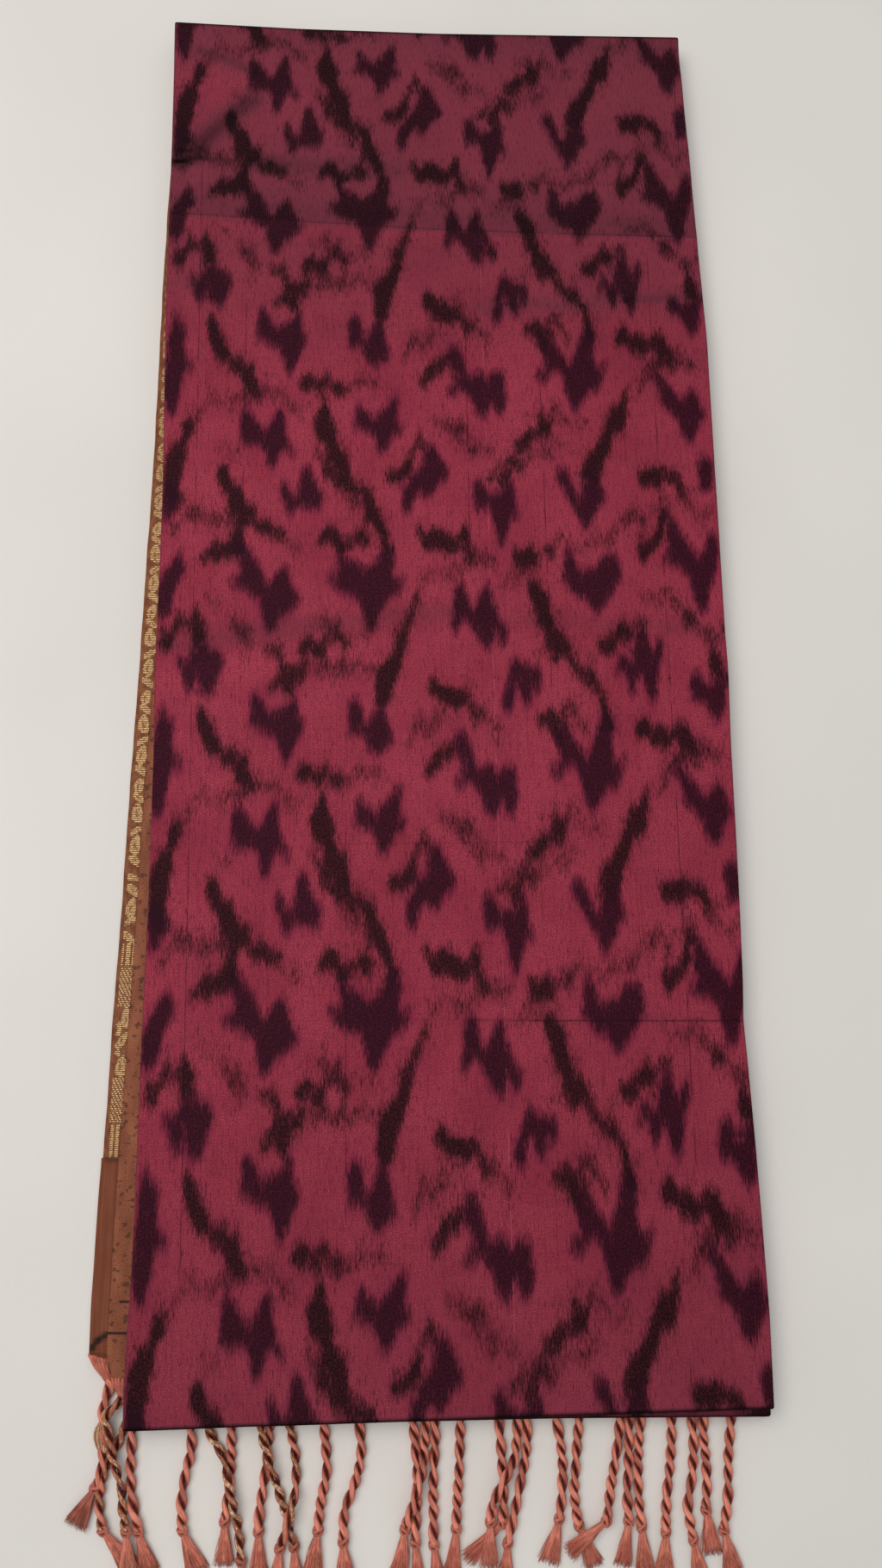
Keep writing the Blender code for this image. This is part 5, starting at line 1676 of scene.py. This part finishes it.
    def skirt(self, centre, tip, side):
        """A dense brush of strands, which fans out to the tip."""
        row = self.row
        reach = np.hypot(row["tip_dx"], row["tip_dy"])
        fan = SKIRT_WIDTH * row["fan"]
        start = centre + tip * SKIRT_START
        t = np.linspace(0, 1, STRAND_POINTS)[:, None]
        radius = self.look.strand_radius / MM
        locks = self.chance.uniform(-1, 1, SKIRT_LOCKS)
        dark = DARK_SKIRTS.get(self.number, 0.0)
        for strand in range(self.look.strands):
            stray = strand % STRAY_EVERY == 0
            lock = locks[strand % SKIRT_LOCKS]
            spread = self.chance.uniform(-1, 1)
            sideways = fan * (0.8 * spread + 0.25 * lock) * (1.25 if stray else 1.0)
            angle = self.chance.uniform(0, 2 * pi)
            narrow = 1.1 * np.sqrt(self.chance.uniform(0, 1))
            from_side, from_up = narrow * cos(angle), 0.8 * narrow * sin(angle)
            long = reach * self.chance.normal(1.0, 0.035) - SKIRT_START
            layer = self.chance.uniform(-1, 1)
            tip_up = row["tip_z"] + 1.15 * layer - 0.5 - start[2]
            curl = self.chance.normal(0, 1.3 if stray else 0.5)
            sway = np.sin(t * pi * self.chance.uniform(0.7, 1.6)) * curl
            path = (start + tip * long * t
                    + side * (from_side + (sideways - from_side) * t ** 0.85 + sway * t)
                    + UP * (from_up + (tip_up - from_up) * eased(t * 1.25)))
            path[:, 2] = np.maximum(path[:, 2], FLOOR_CLEARANCE + radius)
            taper = radius * between(1.0, 0.45, t[:, 0] ** 2)
            # Painted shade: the lower strands are darker, as are all strands near the knot; the rest varies
            # at random
            deep = np.clip(dark + 0.34 - 0.2 * layer + self.chance.normal(0, 0.18), 0, 0.9)
            gold = 1.0 if self.chance.uniform() < self.gold_skirt else 0.0
            deep = deep * (1.0 - 0.35 * t)
            self.pile.tube(path, side, UP, taper, STRAND_SIDES, deep, gold, strand * 0.37)
        share, squash = np.array(SKIRT_BODY).T
        body = start + np.outer(share * (reach - SKIRT_START), tip)
        body[:, 2] = between(start[2], row["tip_z"] - 0.5, eased(share * 1.25))
        wide = between(1.25, 0.86 * fan, share ** 0.9)
        squash = squash / (0.35 + 0.65 * wide / wide[0])
        self.pile.tube(body, side, UP * squash[:, None], wide, SKIRT_BODY_SIDES, 0.26 + dark, 0.0)

    def root_fan(self, joint):
        """The flat bundle of warp ends that a corner tassel gathers from the pallu's end."""
        outer, inner = (np.array(side) for side in GATHERS[self.number])
        t = np.linspace(0, 1, GATHER_POINTS)[:, None]
        for thread in range(GATHER_THREADS):
            share = (thread + 0.5) / GATHER_THREADS
            layer = self.chance.uniform(-1, 1)
            first, over, last = between(outer, inner, share) + self.chance.normal(0, 0.16, (3, 2))
            plan = first * (1 - t) ** 2 + 2 * over * t * (1 - t) + last * t ** 2
            rise = between(2.3, GATHER_LIFT, eased(2.4 * t)) + (joint[2] - GATHER_LIFT) * eased(1.7 * t - 0.7)
            crown = 0.9 * np.sin(pi * share) * t
            path = np.column_stack((plan, rise + crown + 0.35 * layer))
            deep = np.clip(self.chance.normal(0.14, 0.16) + 0.45 * eased(7.0 * (share - 0.84)) * t, 0, 0.8)
            self.pile.tube(path, GATHER_SIDE, UP, 0.27, THREAD_SIDES, deep, 0.0, thread * 0.41)

    def loosened(self, path):
        """A stretch of the cord that has come loose, bellied out and full of gold."""
        y_from, y_to, belly = LOOSENED[self.number]
        stretch = path[(path[:, 1] <= y_from) & (path[:, 1] >= y_to)]
        t = np.linspace(0, 1, len(stretch))
        keep = np.linspace(0, len(stretch) - 1, LOOSE_POINTS).round().astype(int)
        asides, aboves = ribs(stretch)
        swell = np.sin(0.88 * pi * t ** 0.8) ** 0.9
        for strand in range(LOOSE_STRANDS):
            angle = 2 * pi * strand / LOOSE_STRANDS
            out = belly * self.chance.uniform(0.86, 1.0) * swell + 0.3
            middle = stretch + (out * cos(angle))[:, None] * asides
            middle = middle + (0.5 * out * sin(angle))[:, None] * aboves
            middle[:, 0] -= 0.5 * np.sin(pi * t)
            middle[:, 2] = np.maximum(middle[:, 2], FLOOR_CLEARANCE + 0.35)
            bright = self.chance.uniform() < 0.34
            deep = 0.0 if bright else np.clip(self.chance.normal(0.15, 0.2), 0, 0.6)
            radius, gold = (0.21, 1.9) if bright else (0.28, 1.0)
            self.pile.tube(middle[keep], asides[keep], aboves[keep], radius, THREAD_SIDES, deep, gold,
                           strand * 0.53)

    def build(self):
        """The tassel's mesh object."""
        path = self.route()
        if self.number in GATHERS:
            waist = np.mean([side[-1][1] for side in GATHERS[self.number]])
            path = path[path[:, 1] <= waist + 0.8]
            self.root_fan(path[0])
        self.cord(path)
        if self.number in LOOSENED:
            self.loosened(path)
        self.skirt(*self.knot())
        return self.pile.finish(f"knotted_tassel_{self.number + 1:02d}")


class SAREE_OT_tassels(bpy.types.Operator):
    """The fringe: each tassel's twisted cord, knot and skirt"""

    bl_idname = "saree.tassels"
    bl_label = "Tassels"

    def execute(self, context):
        look = context.scene.saree_tassels
        material = fringe_yarn(look)
        outline = Outline(Solid("pallu_end_band"))
        for number in range(len(TASSELS)):
            thing = Tassel(number, outline.near, look).build()
            slot = "fringe_gold" if number in GOLD_IN_TASSELS else "fringe_silk"
            hand_over(thing, material, slot, f"tassel_{number + 1:02d}")
        return {"FINISHED"}


class SAREE_OT_stage(bpy.types.Operator):
    """The pale floor, the soft light and the camera"""

    bl_idname = "saree.stage"
    bl_label = "Stage"

    def execute(self, context):
        look = context.scene.saree_stage
        bpy.ops.object.select_all(action="DESELECT")
        bpy.ops.mesh.primitive_plane_add(size=look.reach, location=(0, 0, 0))
        floor = context.object
        floor.name = "floor"
        floor.data.transform(Matrix.Translation((0, 0, -FLOOR_DROP * MM)))
        floor.data.materials.append(pale_floor(look))

        sky = bpy.data.worlds.new("soft_fill")
        sky.use_nodes = True
        background = sky.node_tree.nodes["Background"]
        background.inputs["Color"].default_value = (*look.sky, 1.0)
        background.inputs["Strength"].default_value = look.fill
        context.scene.world = sky
        key = bpy.data.lights.new("key", "AREA")
        key.energy = look.key
        key.size = look.key_size
        key.color = KEY_COLOUR
        lamp = bpy.data.objects.new("key", key)
        lamp.location = KEY_PLACE
        lamp.rotation_euler = (-Vector(lamp.location)).to_track_quat("-Z", "Y").to_euler()
        context.scene.collection.objects.link(lamp)

        camera = bpy.data.cameras.new("camera")
        camera.sensor_width = SENSOR
        camera.lens = SENSOR * FOCAL_PIXELS / PHOTO_HEIGHT
        camera.clip_start = CLIP_START
        eye = bpy.data.objects.new("camera", camera)
        turn = (Matrix.Rotation(radians(CAMERA_TURN), 4, "Z") @ Matrix.Rotation(radians(CAMERA_TILT), 4, "X")
                @ Matrix.Rotation(radians(CAMERA_ROLL), 4, "Y"))
        eye.matrix_world = Matrix.Translation(Vector(world(CAMERA_PLACE))) @ turn
        context.scene.collection.objects.link(eye)
        context.scene.camera = eye
        context.scene.view_settings.view_transform = "Standard"
        return {"FINISHED"}


OPERATORS = (
    SAREE_OT_stage,
    SAREE_OT_pallu,
    SAREE_OT_hidden_folds,
    SAREE_OT_second_fold,
    SAREE_OT_top_fold,
    SAREE_OT_tassels,
)
LOOKS = {
    "saree_ikat": IkatLook,
    "saree_pallu": PalluLook,
    "saree_tassels": TasselLook,
    "saree_stage": StageLook,
}


class SAREE_PT_panel(bpy.types.Panel):
    """The saree's pieces and their looks"""

    bl_label = "Folded saree"
    bl_idname = "SAREE_PT_panel"
    bl_space_type = "VIEW_3D"
    bl_region_type = "UI"
    bl_category = "Saree"

    def draw(self, context):
        for operator in OPERATORS:
            self.layout.operator(operator.bl_idname)
        for name, group in LOOKS.items():
            box = self.layout.box()
            box.label(text=group.__doc__)
            for key in group.__annotations__:
                box.prop(getattr(context.scene, name), key)


def register():
    for group in (*LOOKS.values(), *OPERATORS, SAREE_PT_panel):
        bpy.utils.register_class(group)
    for name, group in LOOKS.items():
        setattr(bpy.types.Scene, name, PointerProperty(type=group))


def unregister():
    for name in LOOKS:
        delattr(bpy.types.Scene, name)
    for group in (SAREE_PT_panel, *reversed(OPERATORS), *reversed(LOOKS.values())):
        bpy.utils.unregister_class(group)


def main():
    register()
    for operator in OPERATORS:
        family, name = operator.bl_idname.split(".")
        getattr(getattr(bpy.ops, family), name)()
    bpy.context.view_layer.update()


if __name__ == "__main__":
    main()
